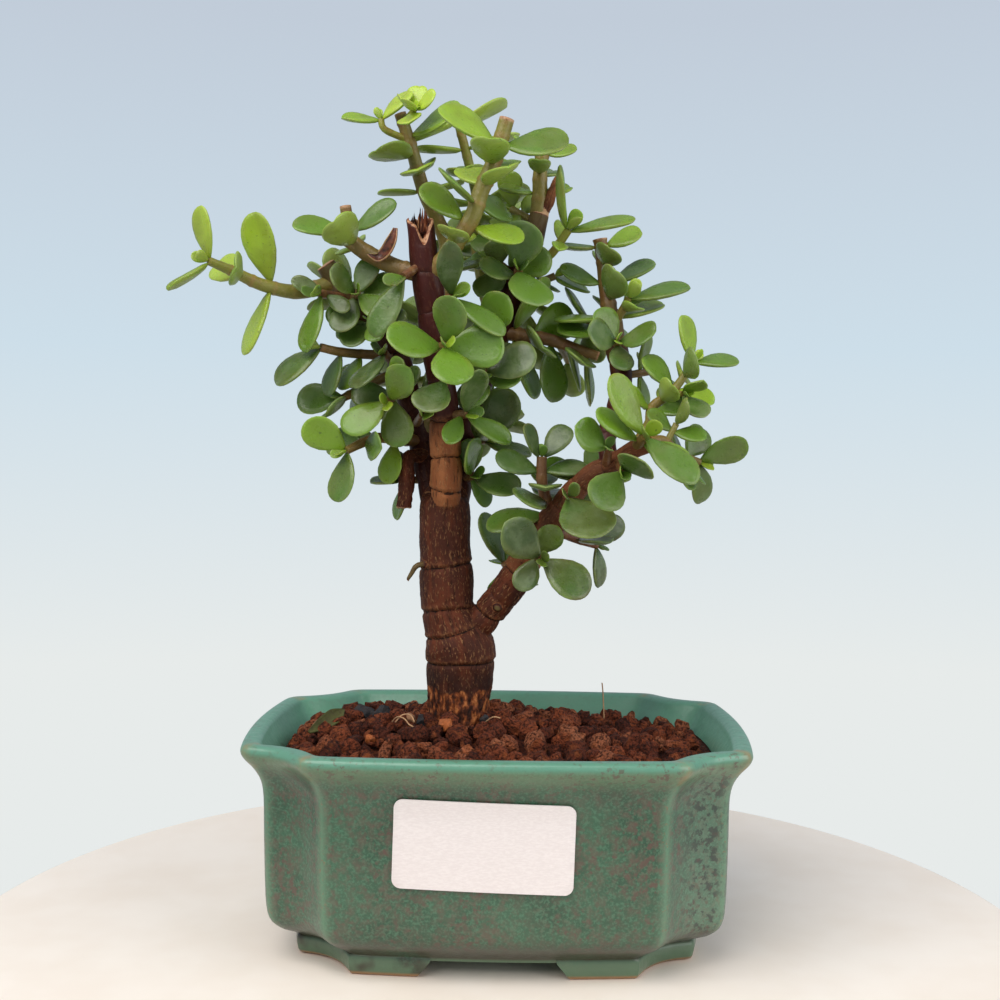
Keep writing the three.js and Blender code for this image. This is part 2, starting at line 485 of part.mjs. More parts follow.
// The soil: bed and grains as one body, cut clear of the pot, the mesh squares and the trunk.
function makeSoil() {
  const floor = POT_INSIDE.at(-1)[0] + GAP;
  const levels = [floor, ...BED_LEVELS, BED_EDGE];
  const walls = levels.map((height) => potOutline(insetAt(POT_INSIDE, height) + GAP, height));
  const edge = walls.at(-1);
  const hub = WOOD.trunk[0];
  const tops = BED_TOP_SHARES.map((share) => edge.map(([x, y]) => {
    const px = hub[0] * (1 - share) + x * share;
    const py = hub[1] * (1 - share) + y * share;
    return [px, py, moundHeight(px, py)];
  }));
  const bed = skin([...walls, ...tops]);

  const random = randomFrom(GRAIN_SEED);
  const grains = [];
  const placed = [];
  const inner = insetAt(POT_INSIDE, BED_EDGE);
  for (let tries = 0; placed.length < GRAIN_COUNT && tries < GRAIN_TRIES; tries += 1) {
    const x = (random() * 2 - 1) * (RIM_HALF_WIDTH - inner);
    const y = (random() * 2 - 1) * (RIM_HALF_DEPTH - inner);
    const radius = GRAIN_RADIUS[0] + (GRAIN_RADIUS[1] - GRAIN_RADIUS[0]) * random() ** 1.5;
    const crowded = placed.some((g) => Math.hypot(g[0] - x, g[1] - y) < GRAIN_CROWDING * (g[2] + radius));
    const fromTrunk = Math.hypot(x - hub[0], y - hub[1]);
    if (crowded || fromTrunk < TRUNK_CLEARANCE) {
      continue;
    }
    placed.push([x, y, radius]);
    grains.push(makeGrain(random, x, y, moundHeight(x, y) + GRAIN_RISE * radius, radius));
  }
  const cavity = skin([...levels, SOIL_TOP].map((height) => {
    const inset = height > BED_EDGE ? inner : insetAt(POT_INSIDE, height);
    return potOutline(inset + GAP, height);
  }));
  let soil = wasm.Manifold.union([bed, ...grains]).intersect(cavity);
  for (const x of [-DRAIN_OFFSET, DRAIN_OFFSET]) {
    const side = MESH_SIDE + 2 * GAP;
    soil = soil.subtract(boxAt(x, 0, floor + MESH_THICK / 2, side, side, MESH_THICK + 2 * GAP));
  }
  const foot = WOOD.trunk[0];
  const hole = cylinderAt(foot[0], foot[1], STEM_FOOT - GAP, SOIL_TOP, WOOD.trunk[3][3] + GAP, 20);
  return largestPiece(soil.subtract(hole).simplify(SOIL_TOLERANCE));
}

function largestPiece(solid) {
  const pieces = solid.decompose();
  pieces.sort((a, b) => b.volume() - a.volume());
  return pieces[0];
}

// A route of [x, y, z, radius] made even: a section every few millimetres and three at each scar.
function sections(route, scars, step) {
  const distance = [0];
  for (let k = 1; k < route.length; k += 1) {
    const [a, b] = [route[k - 1], route[k]];
    distance.push(distance[k - 1] + Math.hypot(b[0] - a[0], b[1] - a[1], b[2] - a[2]));
  }
  const total = distance.at(-1);
  const count = Math.max(1, Math.round(total / step));
  const stations = [];
  for (let k = 0; k <= count; k += 1) {
    const s = (total * k) / count;
    if (!scars.some((scar) => Math.abs(scar - s) < step * 0.4)) {
      stations.push([s, 0]);
    }
  }
  for (const scar of scars) {
    stations.push([scar - SCAR_HALF, -SCAR_LIP], [scar, SCAR_DEPTH], [scar + SCAR_HALF, 0]);
  }
  stations.sort((a, b) => a[0] - b[0]);
  return stations.map(([s, depth]) => {
    let k = distance.findIndex((d) => d >= s);
    k = Math.max(1, k < 0 ? route.length - 1 : k);
    const t = (s - distance[k - 1]) / (distance[k] - distance[k - 1]);
    const at = route[k - 1].map((value, axis) => value + (route[k][axis] - value) * t);
    at[3] -= depth;
    return at;
  });
}

// A stem with flat ends along a route of [x, y, z, radius].
function tube(route, sides, grow) {
  const points = route.map((p) => new THREE.Vector3(p[0], p[1], p[2]));
  const rings = [];
  let across = null;
  points.forEach((point, k) => {
    const before = points[Math.max(0, k - 1)];
    const after = points[Math.min(points.length - 1, k + 1)];
    const way = after.clone().sub(before).normalize();
    if (across === null) {
      across = Math.abs(way.x) < 0.8 ? new THREE.Vector3(1, 0, 0) : new THREE.Vector3(0, 1, 0);
    }
    across = across.clone().addScaledVector(way, -across.dot(way)).normalize();
    const third = way.clone().cross(across);
    const radius = route[k][3] + grow;
    const ring = [];
    const endShift = grow * (k === 0 ? -1 : Number(k === points.length - 1));
    for (let side = 0; side < sides; side += 1) {
      const angle = (2 * Math.PI * side) / sides;
      const corner = point.clone().addScaledVector(way, endShift);
      corner.addScaledVector(across, radius * Math.cos(angle));
      corner.addScaledVector(third, radius * Math.sin(angle));
      ring.push([corner.x, corner.y, corner.z]);
    }
    rings.push(ring);
  });
  return skin(rings);
}

// The whole woody frame, grown outwards by a distance where a neighbour has to clear it.
function makeWood(grow) {
  const stems = Object.entries(WOOD).map(([name, route]) => {
    const sides = name === "trunk" ? TRUNK_SIDES : BRANCH_SIDES;
    const scars = grow > 0 ? [] : SCARS[name] ?? [];
    return tube(sections(route, scars, SECTION_STEP), sides, grow);
  });
  const snags = SNAGS.map((route) => tube(route, SNAG_SIDES, grow));
  return wasm.Manifold.union([...stems, ...snags]);
}

// The point, direction and radius at a share of a route's length.
function along(route, share) {
  const lengths = [];
  for (let k = 1; k < route.length; k += 1) {
    const [a, b] = [route[k - 1], route[k]];
    lengths.push(Math.hypot(b[0] - a[0], b[1] - a[1], b[2] - a[2]));
  }
  let left = share * lengths.reduce((sum, length) => sum + length, 0);
  let k = 0;
  while (k < lengths.length - 1 && left > lengths[k]) {
    left -= lengths[k];
    k += 1;
  }
  const t = Math.min(1, left / lengths[k]);
  const [a, b] = [route[k], route[k + 1]];
  const way = new THREE.Vector3(b[0] - a[0], b[1] - a[1], b[2] - a[2]);
  const point = new THREE.Vector3(a[0], a[1], a[2]).addScaledVector(way, t);
  return { point, way: way.normalize(), radius: a[3] + (b[3] - a[3]) * t };
}

// Every leafy stem's own route, from the axis of the stem that it grows from.
function sprigRoutes() {
  const routes = {};
  for (const [name, sprig] of Object.entries(SPRIGS)) {
    const parent = WOOD[sprig.on] ?? routes[sprig.on];
    const foot = along(parent, sprig.at).point;
    const points = [[foot.x, foot.y, foot.z], ...sprig.way];
    const last = points.length - 1;
    routes[name] = points.map((p, k) => {
      const radius = sprig.thick[0] + ((sprig.thick[1] - sprig.thick[0]) * k) / last;
      return [p[0], p[1], p[2], radius];
    });
  }
  return routes;
}

// A leaf's outline: its half width as a share of the widest, from the narrow foot to the tip.
const LEAF_OUTLINE = [[0.28, 0.78], [0.67, 1], [0.97, 0.48]];
const LEAF_CREST = 0.5;
// Points of a blade, as [share of the length, share of the half width], that have to be clear of others.
const LEAF_TESTS = [
  [0.08, 0], [0.25, 0], [0.45, -0.8], [0.45, 0.8], [0.6, 0], [0.75, -1], [0.75, 1], [0.86, 0],
  [0.9, -0.75], [0.9, 0.75], [1, -0.3], [1, 0.3],
];

function leafPoint(leaf, t, v, rise) {
  const point = leaf.root.clone().addScaledVector(leaf.way, t * leaf.length);
  point.addScaledVector(leaf.side, v * leaf.half);
  return point.addScaledVector(leaf.face, rise + LEAF_BEND * leaf.length * t * t);
}

// A leaf opens from its stem, then turns its face part of the way to the light outside the crown.
function placeLeaf(node, turn, open, length, half, roll) {
  const seen = Math.abs(node.way.x) > 0.8 ? new THREE.Vector3(0, 0, 1) : new THREE.Vector3(1, 0, 0);
  const first = seen.addScaledVector(node.way, -seen.dot(node.way)).normalize();
  const second = node.way.clone().cross(first);
  const angle = THREE.MathUtils.degToRad(turn);
  const lean = THREE.MathUtils.degToRad(open);
  const out = first.multiplyScalar(Math.cos(angle)).addScaledVector(second, Math.sin(angle));
  const way = node.way.clone().multiplyScalar(Math.cos(lean)).addScaledVector(out, Math.sin(lean));
  const face = node.way.clone().multiplyScalar(Math.sin(lean)).addScaledVector(out, -Math.cos(lean));
  const root = node.point.clone().addScaledVector(out, Math.max(0, node.radius - ROOT_DEPTH));
  const light = new THREE.Vector3(root.x - CROWN_AXIS[0], root.y - CROWN_AXIS[1], LIGHT_LIFT);
  light.x /= CROWN_REACH[0];
  light.y /= CROWN_REACH[1];
  light.normalize();
  face.multiplyScalar(1 - LIGHT_PULL).addScaledVector(light, LIGHT_PULL);
  face.addScaledVector(way, -face.dot(way)).normalize();
  face.applyAxisAngle(way, THREE.MathUtils.degToRad(roll));
  return { root, way, face, side: way.clone().cross(face), length, half };
}

// True where a sample of one leaf lies on, or too near, the blade of the other.
function bladesMeet(one, other, room, from) {
  return LEAF_TESTS.some(([t, v]) => {
    if (t < from) {
      return false;
    }
    const away = leafPoint(one, t, v, 0).sub(other.root);
    const u = away.dot(other.way) / other.length;
    const across = away.dot(other.side) / other.half;
    const off = away.dot(other.face) - LEAF_BEND * other.length * u * u;
    const reach = (u - BLADE_MIDDLE) / (BLADE_MIDDLE + BLADE_MARGIN[0] / other.length);
    const spread = across / (1 + BLADE_MARGIN[1] / other.half);
    return Math.abs(off) < room && reach * reach + spread * spread < 1;
  });
}

function nearStem(leaf, stem, from) {
  return LEAF_TESTS.some(([t, v]) => {
    if (t < from) {
      return false;
    }
    const point = leafPoint(leaf, t, v, 0);
    for (let k = 0; k + 1 < stem.length; k += 1) {
      const foot = new THREE.Vector3(stem[k][0], stem[k][1], stem[k][2]);
      const span = new THREE.Vector3(stem[k + 1][0], stem[k + 1][1], stem[k + 1][2]).sub(foot);
      const share = Math.min(1, Math.max(0, point.clone().sub(foot).dot(span) / span.lengthSq()));
      const radius = stem[k][3] + (stem[k + 1][3] - stem[k][3]) * share;
      if (point.distanceTo(foot.addScaledVector(span, share)) < radius + STEM_ROOM) {
        return true;
      }
    }
    return false;
  });
}

// The node that a leafy stem belongs to: side twigs are fused to the leafy stem that bears them.
function nodeOf(name) {
  const parent = SPRIGS[name].on;
  return parent in WOOD ? name : nodeOf(parent);
}

// All leaves, by one rule: opposite pairs along each stem, each leaf moved until it is clear.
function growLeaves(routes) {
  const random = randomFrom(LEAF_SEED);
  const stems = Object.entries({ ...WOOD, ...routes });
  SNAGS.forEach((route, k) => stems.push([`snag${k}`, route]));
  const leaves = [];
  for (const [name, sprig] of Object.entries(SPRIGS)) {
    const pairs = sprig.turns.length;
    for (let pair = 0; pair < pairs; pair += 1) {
      const share = pairs > 1 ? pair / (pairs - 1) : 1;
      const at = sprig.span[0] + (sprig.span[1] - sprig.span[0]) * share;
      const node = along(routes[name], at);
      for (const flip of [0, 180]) {
        const turn = sprig.turns[pair] + flip + TURN_PLAY * (2 * random() - 1);
        const spread = sprig.open ?? OPENING;
        const open = (at < TIP_SHARE ? spread[0] : spread[1]) + OPEN_PLAY * (2 * random() - 1);
        const roll = ROLL_PLAY * (2 * random() - 1);
        const play = 1 + SIZE_PLAY * (2 * random() - 1);
        const length = (sprig.leaf[0] + (sprig.leaf[1] - sprig.leaf[0]) * share) * play;
        for (const [spin, lift, size] of LEAF_MOVES) {
          const half = (size * length * sprig.wide) / 2;
          const leaf = placeLeaf(node, turn + spin, open + lift, size * length, half, roll);
          leaf.sprig = name;
          const meets = leaves.some((other) => {
            const kin = nodeOf(other.sprig) === nodeOf(name);
            const from = kin ? KIN_START : 0;
            const room = kin ? KIN_ROOM * LEAF_ROOM : LEAF_ROOM;
            return bladesMeet(leaf, other, room, from) || bladesMeet(other, leaf, room, from);
          });
          const blocked = stems.some(([stem, route]) => {
            const from = stem === sprig.on || stem === name ? STEM_START : 0;
            return nearStem(leaf, route, from);
          });
          if (!meets && !blocked) {
            leaves.push(leaf);
            break;
          }
        }
      }
    }
  }
  return leaves;
}

// A thick spoon-shaped leaf: a point sunk in the stem, the outline and one high point on each face.
function makeLeaf(leaf) {
  const points = [leafPoint(leaf, -LEAF_SINK / leaf.length, 0, 0)];
  for (const [t, share] of LEAF_OUTLINE) {
    points.push(leafPoint(leaf, t, -share, 0), leafPoint(leaf, t, share, 0));
  }
  for (const rise of [LEAF_HALF_THICK, -LEAF_HALF_THICK]) {
    points.push(leafPoint(leaf, LEAF_CREST, 0, rise));
  }
  const rim = [0, 1, 3, 5, 6, 4, 2];
  const faces = [];
  rim.forEach((corner, k) => {
    const next = rim[(k + 1) % rim.length];
    faces.push([corner, 7, next], [corner, next, 8]);
  });
  return solidOf(points.map((p) => [p.x, p.y, p.z]), faces);
}

// A paper label with rounded corners that follows the front wall's bow.
function makeLabel() {
  const [width, height] = LABEL_SIZE;
  const turned = (right, up) => {
    const x = LABEL_CENTRE[0] + right * Math.cos(LABEL_TILT) + up * Math.sin(LABEL_TILT);
    const z = LABEL_CENTRE[1] - right * Math.sin(LABEL_TILT) + up * Math.cos(LABEL_TILT);
    const wallInset = insetAt(POT_OUTSIDE, z);
    const t = 0.5 + x / (2 * (FRONT_PANEL_HALF - FRONT_NARROWING * wallInset));
    const y = -(RIM_HALF_DEPTH - wallInset) - FRONT_BOW * 4 * t * (1 - t) - GAP;
    return [x, y, z];
  };
  const columns = 8;
  const rings = [];
  for (let k = 0; k <= columns; k += 1) {
    const reach = (k / columns - 0.5) * width;
    const short = Math.max(0, Math.abs(reach) - (width / 2 - LABEL_CORNER));
    const half = height / 2 - LABEL_CORNER + Math.sqrt(Math.max(0, LABEL_CORNER ** 2 - short ** 2)) - 0.01;
    const low = turned(reach, -half);
    const high = turned(reach, half);
    const out = ([x, y, z]) => [x, y - LABEL_THICK, z];
    rings.push([low, high, out(high), out(low)]);
  }
  return skin(rings);
}

function asMesh(name, solid, look) {
  const mesh = solid.getMesh();
  const geometry = new THREE.BufferGeometry();
  geometry.setAttribute("position", new THREE.BufferAttribute(new Float32Array(mesh.vertProperties), 3));
  geometry.setIndex(new THREE.BufferAttribute(new Uint32Array(mesh.triVerts), 1));
  geometry.computeVertexNormals();
  const [color, roughness] = COLOURS[look];
  const part = new THREE.Mesh(geometry, new THREE.MeshStandardMaterial({ color, roughness, metalness: 0 }));
  part.name = name;
  return part;
}

const bonsai = new THREE.Group();
bonsai.add(asMesh("pot", makePot(), "pot"));
bonsai.add(asMesh("drain_mesh_left", makeMesh(-DRAIN_OFFSET), "mesh"));
bonsai.add(asMesh("drain_mesh_right", makeMesh(DRAIN_OFFSET), "mesh"));
bonsai.add(asMesh("soil", makeSoil(), "soil"));
bonsai.add(asMesh("label", makeLabel(), "label"));
bonsai.add(asMesh("trunk_and_branches", makeWood(0), "wood"));

const routes = sprigRoutes();
const leaves = growLeaves(routes);
const clearWood = makeWood(GAP);
for (const name of Object.keys(SPRIGS)) {
  if (nodeOf(name) !== name) {
    continue;
  }
  const kin = Object.keys(SPRIGS).filter((other) => nodeOf(other) === name);
  const stems = kin.map((other) => tube(routes[other], TWIG_SIDES, 0));
  const blades = leaves.filter((leaf) => kin.includes(leaf.sprig)).map(makeLeaf);
  const sprig = wasm.Manifold.union([...stems, ...blades]).subtract(clearWood);
  bonsai.add(asMesh(name, largestPiece(sprig.simplify(TWIG_TOLERANCE)), "leaf"));
}

// The origin is the middle of the whole plant's box, at the height of the feet.
const box = new THREE.Box3().setFromObject(bonsai);
bonsai.position.set(-(box.min.x + box.max.x) / 2, -(box.min.y + box.max.y) / 2, -box.min.z);

export default bonsai;
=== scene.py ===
import math

import bmesh
import bpy
import numpy as np
from mathutils import Matrix, Vector, noise


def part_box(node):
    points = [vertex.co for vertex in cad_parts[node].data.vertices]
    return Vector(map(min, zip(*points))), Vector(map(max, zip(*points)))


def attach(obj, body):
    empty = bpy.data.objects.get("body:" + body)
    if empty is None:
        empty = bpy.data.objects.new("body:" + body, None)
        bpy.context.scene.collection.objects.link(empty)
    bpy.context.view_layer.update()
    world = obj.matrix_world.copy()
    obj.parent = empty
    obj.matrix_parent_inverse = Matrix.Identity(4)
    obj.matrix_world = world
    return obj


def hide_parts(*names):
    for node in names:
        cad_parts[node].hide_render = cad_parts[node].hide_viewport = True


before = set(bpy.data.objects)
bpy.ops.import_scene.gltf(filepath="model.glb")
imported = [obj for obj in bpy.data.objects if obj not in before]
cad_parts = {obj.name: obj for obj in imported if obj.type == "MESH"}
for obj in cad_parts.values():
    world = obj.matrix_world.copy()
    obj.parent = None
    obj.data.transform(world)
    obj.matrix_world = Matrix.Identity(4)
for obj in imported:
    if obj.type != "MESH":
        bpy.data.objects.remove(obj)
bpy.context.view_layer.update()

# The pot is one bowl of slip-cast stoneware on four corner feet, with two drainage holes. It is dipped in a
# teal glaze that breaks brown where it runs thin: on the corner edges, above the feet and round the lip.
# The recess above the feet is also darkened with painted shade.
MM = 0.001
pot_low, pot_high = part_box("pot")
POT_MIDDLE = (pot_low.x + pot_high.x) / 2
RIM_HALF_WIDTH = 57.9
RIM_HALF_DEPTH = 41
FRONT_PANEL_HALF = 42.4
FRONT_TAPER = 0.82
SIDE_PANEL_HALF = 29.7
SIDE_TAPER = [0.6, 0.036]
FRONT_BOW = 1.6
SIDE_BOW = 2.4
CORNER_HOLLOW = 2.6
POT_OUTSIDE = [
    [4.0, 11.9], [5.1, 11.3], [6.4, 9.7], [8.1, 7.6], [10.8, 5.8], [16, 5.1], [30, 4.8], [39, 4.7],
    [43.2, 4.1], [46.2, 2.7], [48.4, 1.0], [49.6, 0.25], [50.7, 0], [51.8, 0.4], [52.2, 1.3],
]
POT_INSIDE = [[52.2, 3.0], [51.6, 4.1], [50.0, 4.9], [46, 7.2], [41, 8.9], [28, 9.5], [14, 10.6], [9, 13.5]]
LIP_FROM = 46.5
LIP_ROWS_INSIDE = 3
RIDGE_FROM = 8
FOOT_HEIGHT = 5.2
FOOT_SKIN = [[FOOT_HEIGHT, 0.5], [4.6, 0.05], [3.9, -0.1], [2.6, -0.1], [1.2, 0.15], [0.5, 0.4], [0.0, 1.0]]
FOOT_OUTER = 11.4
FOOT_INNER = 21
FOOT_BACK = [[0.0, FOOT_INNER - 1.2], [0.5, FOOT_INNER - 0.4], [FOOT_HEIGHT, FOOT_INNER]]
FOOT_BARE_BELOW = 0.6
FOOT_PARTS = [0.38, 0.28, 0.34]
FRONT_GAP = [17.4, 14.2]
SIDE_GAP = [10, 8]
FOOT_CROWN = 4.1
DRAIN_RADIUS = 6
DRAIN_OFFSET = 22
DRILL_LENGTH = 14
EDGE_STEPS = {"front": 60, "corner": 14, "side": 40}
EDGE_STEP_LENGTH = 1.35
EDGE_REACH = 2.2
EDGE_SOFTENING = 3
FOOT_STEPS = 40
SECTION_STEPS = 3


def place(point):
    """A point of the pot's own frame in millimetres, as a place in the scene in metres."""
    return (POT_MIDDLE + point[0] * MM, point[1] * MM, point[2] * MM)


def mesh_object(name, points, faces, smooth=True):
    mesh = bpy.data.meshes.new(name)
    mesh.from_pydata([tuple(p) for p in points], [], [tuple(f) for f in faces])
    mesh.update()
    piece = bpy.data.objects.new(name, mesh)
    bpy.context.scene.collection.objects.link(piece)
    if smooth:
        mesh.shade_smooth()
    return piece


def placed_object(name, points, faces, smooth=True):
    return mesh_object(name, [place(p) for p in points], faces, smooth)


def applied(piece):
    """The piece with its modifiers made part of its mesh."""
    graph = bpy.context.evaluated_depsgraph_get()
    done = bpy.data.meshes.new_from_object(piece.evaluated_get(graph))
    piece.modifiers.clear()
    old = piece.data
    piece.data = done
    bpy.data.meshes.remove(old)
    done.name = piece.name
    return piece


def point_values(piece, name, values, kind="FLOAT"):
    """Values kept at the piece's points for its material: one for each point, or one for all of them."""
    layer = piece.data.attributes.new(name, kind, "POINT")
    field = "vector" if kind == "FLOAT_VECTOR" else "value"
    if np.ndim(values) == 0:
        values = [values] * len(piece.data.vertices)
    layer.data.foreach_set(field, np.asarray(values, dtype=np.float32).ravel())


def smooth_rows(rows, steps):
    """More rows through the given ones, on a Catmull-Rom curve."""
    rows = np.asarray(rows, dtype=float)
    out = []
    for k, (a, b) in enumerate(zip(rows, rows[1:])):
        before = rows[max(0, k - 1)]
        after = rows[min(len(rows) - 1, k + 2)]
        for step in range(steps):
            t = step / steps
            out.append(0.5 * (2 * a + (b - before) * t + (2 * before - 5 * a + 4 * b - after) * t**2
                              + (3 * a - before - 3 * b + after) * t**3))
    out.append(rows[-1])
    return out


def panel_ends(inset):
    """At an inset from the rim: half the pot's width and depth, then half its front and side panels."""
    front = FRONT_PANEL_HALF - FRONT_TAPER * inset
    side = SIDE_PANEL_HALF - SIDE_TAPER[0] * inset - SIDE_TAPER[1] * inset * inset
    return RIM_HALF_WIDTH - inset, RIM_HALF_DEPTH - inset, front, side


def pot_edges(inset):
    w, d, front, side = panel_ends(inset)
    corners = [(-front, -d), (front, -d), (w, -side), (w, side),
               (front, d), (-front, d), (-w, side), (-w, -side)]
    kinds = [("front", FRONT_BOW), ("corner", -CORNER_HOLLOW),
             ("side", SIDE_BOW), ("corner", -CORNER_HOLLOW)] * 2
    return [(*corners[k], *corners[(k + 1) % 8], bow, kind) for k, (kind, bow) in enumerate(kinds)]


def pot_outline(inset, height):
    """The pot's outline, anticlockwise from above, drawn in from the rim, with its corner edges softened."""
    points = []
    for x0, y0, x1, y1, bow, kind in pot_edges(inset):
        length = math.hypot(x1 - x0, y1 - y0)
        out = ((y1 - y0) / length, -(x1 - x0) / length)
        for k in range(EDGE_STEPS[kind]):
            t = k / EDGE_STEPS[kind]
            rise = bow * 4 * t * (1 - t)
            points.append((x0 + (x1 - x0) * t + out[0] * rise, y0 + (y1 - y0) * t + out[1] * rise))
    points = np.array(points)
    for _ in range(EDGE_SOFTENING):
        points = (np.roll(points, 1, 0) + 2 * points + np.roll(points, -1, 0)) / 4
    return [(x, y, height) for x, y in points]


def edge_closeness():
    """For each point of the outline, 1 on a corner edge and 0 a few millimetres from it."""
    counts = [EDGE_STEPS[edge[-1]] for edge in pot_edges(0)]
    away = [min(k, steps - k) * EDGE_STEP_LENGTH for steps in counts for k in range(steps)]
    return [max(0.0, 1 - gap / EDGE_REACH) for gap in away]


def skin_faces(ring_count, size, capped=False):
    """Faces between rings of points, and the first and last ring closed where that is asked."""
    last = (ring_count - 1) * size
    turns = [(k, (k + 1) % size) for k in range(size)]
    faces = [(ring + a, ring + b, ring + b + size, ring + a + size)
             for ring in range(0, last, size) for a, b in turns]
    if capped:
        faces += [tuple(range(size - 1, -1, -1)), tuple(range(last, last + size))]
    return faces


def fan_faces(hub, ring, size, turned=False):
    """Faces that close a ring of points round one in its middle."""
    turns = [(ring + k, ring + (k + 1) % size) for k in range(size)]
    return [(hub, b, a) if turned else (hub, a, b) for a, b in turns]


def make_bowl():
    section = smooth_rows(POT_OUTSIDE, SECTION_STEPS) + smooth_rows(POT_INSIDE, SECTION_STEPS)
    rings = [pot_outline(inset, height) for height, inset in section]
    size = len(rings[0])
    points = [p for ring in rings for p in ring]
    count = len(points)
    faces = skin_faces(len(rings), size) + fan_faces(count, 0, size, True)
    faces += fan_faces(count + 1, count - size, size)
    points += [(0, 0, POT_OUTSIDE[0][0]), (0, 0, POT_INSIDE[-1][0])]
    closeness = edge_closeness()
    outside_rows = (len(POT_OUTSIDE) - 1) * SECTION_STEPS + 1
    thin, ridge, inner = [], [], []
    for row, (height, _) in enumerate(section):
        outside = row < outside_rows
        lip = height > LIP_FROM and row < outside_rows + LIP_ROWS_INSIDE
        thin += closeness if lip else [0.0] * size
        ridge += closeness if outside and height > RIDGE_FROM else [0.0] * size
        inner += [0.0 if outside else 1.0] * size
    bowl = placed_object("pot_bowl", points, faces)
    for name, values in (("thin_glaze", thin), ("ridge", ridge), ("inner_wall", inner)):
        point_values(bowl, name, values + [0.0, 0.0])
    return bowl


def make_foot(turn_x, turn_y):
    """One corner foot: a bent bar under the base, between the two gaps of its corner."""
    levels = [(z, FOOT_OUTER + shift) for z, shift in FOOT_SKIN] + FOOT_BACK
    front_part, corner_part, side_part = FOOT_PARTS
    points, thin = [], []
    for step in range(FOOT_STEPS + 1):
        share = step / FOOT_STEPS
        for z, inset in levels:
            crown = min(1.0, z / FOOT_CROWN)
            front_end = FRONT_GAP[0] + (FRONT_GAP[1] - FRONT_GAP[0]) * crown
            side_end = SIDE_GAP[0] + (SIDE_GAP[1] - SIDE_GAP[0]) * crown
            w, d, front, side = panel_ends(inset)
            front = max(front, front_end + 1)
            side = max(side, side_end + 1)
            if share < front_part:
                x = front_end + (front - front_end) * share / front_part
                y = -d - FRONT_BOW * (1 - (x / front) ** 2)
            elif share < front_part + corner_part:
                t = (share - front_part) / corner_part
                bend = CORNER_HOLLOW * 4 * t * (1 - t)
                x = front + (w - front) * t - 0.6 * bend
                y = -d + (d - side) * t + 0.8 * bend
            else:
                y = -side + (side - side_end) * (share - front_part - corner_part) / side_part
                x = w + SIDE_BOW * (1 - (y / side) ** 2)
            points.append((x * turn_x, y * turn_y, z))
            thin.append(1.0 if z < FOOT_BARE_BELOW and inset < FOOT_INNER - 2 else 0.0)
    foot = placed_object("pot_foot", points, skin_faces(FOOT_STEPS + 1, len(levels), capped=True))
    point_values(foot, "thin_glaze", thin)
    return foot


def face_outwards(piece):
    shape = bmesh.new()
    shape.from_mesh(piece.data)
    bmesh.ops.recalc_face_normals(shape, faces=shape.faces)
    shape.to_mesh(piece.data)
    shape.free()


def joined(name, pieces):
    """Several meshes as one object, with their attributes kept."""
    with bpy.context.temp_override(active_object=pieces[0], selected_editable_objects=pieces,
                                   selected_objects=pieces, object=pieces[0]):
        bpy.ops.object.join()
    pieces[0].name = name
    pieces[0].data.name = name
    return pieces[0]


bowl = make_bowl()
for side in (-1, 1):
    bpy.ops.mesh.primitive_cylinder_add(vertices=40, radius=DRAIN_RADIUS * MM, depth=DRILL_LENGTH * MM,
                                        location=place((side * DRAIN_OFFSET, 0, 6)))
    drill = bpy.context.object
    cut = bowl.modifiers.new("drain", "BOOLEAN")
    cut.object = drill
    cut.operation = "DIFFERENCE"
    cut.solver = "EXACT"
    applied(bowl)
    bpy.data.objects.remove(drill)
feet = [make_foot(x, y) for x in (-1, 1) for y in (-1, 1)]
for foot in feet:
    face_outwards(foot)
pot_body = joined("pot_body", [bowl, *feet])
pot_body.data.set_sharp_from_angle(angle=math.radians(50))


def linear(value):
    """One part of a colour, read off as 0 to 255, as the linear value that a node takes."""
    value /= 255
    return value / 12.92 if value <= 0.04045 else ((value + 0.055) / 1.055) ** 2.4


def toned(colour):
    """A colour given as three numbers from 0 to 255; a socket is left as it is."""
    return (*map(linear, colour), 1.0) if isinstance(colour, tuple) else colour


class Nodes:
    """A tree of nodes in the making. An input takes a plain value, a socket, or a list of sockets."""

    def __init__(self, tree):
        self.tree = tree

    def node(self, kind, inputs=None, **settings):
        node = self.tree.nodes.new(kind)
        for name, value in settings.items():
            setattr(node, name, value)
        for socket, value in (inputs or {}).items():
            sources = value if isinstance(value, list) else [value]
            if not isinstance(sources[0], bpy.types.NodeSocket):
                node.inputs[socket].default_value = value
                continue
            for source in sources:
                self.tree.links.new(source, node.inputs[socket])
        return node

    def put(self, kind, inputs=None, out=0, **settings):
        """Adds a node and gives one of its outputs."""
        return self.node(kind, inputs, **settings).outputs[out]

    def sum(self, operation, first, second=0.0):
        return self.put("ShaderNodeMath", {0: first, 1: second}, operation=operation)

    def times(self, first, second):
        return self.sum("MULTIPLY", first, second)

    def between(self, value, start=0.0, end=1.0, to=(0.0, 1.0), soft=False):
        """How far a value has come from a start to an end, as 0 to 1 or as the two numbers given."""
        inputs = {"Value": value, "From Min": start, "From Max": end, "To Min": to[0], "To Max": to[1]}
        return self.put("ShaderNodeMapRange", inputs, interpolation_type="SMOOTHSTEP" if soft else "LINEAR")

    def mixed(self, share, first, second):
        inputs = {0: share, 6: toned(first), 7: toned(second)}
        return self.put("ShaderNodeMix", inputs, 2, data_type="RGBA")

    def ramped(self, value, stops):
        node = self.node("ShaderNodeValToRGB", {"Fac": value})
        elements = node.color_ramp.elements
        while len(elements) < len(stops):
            elements.new(0.5)
        for element, (position, colour) in zip(elements, stops):
            element.position = position
            element.color = toned(colour)
        return node.outputs["Color"]


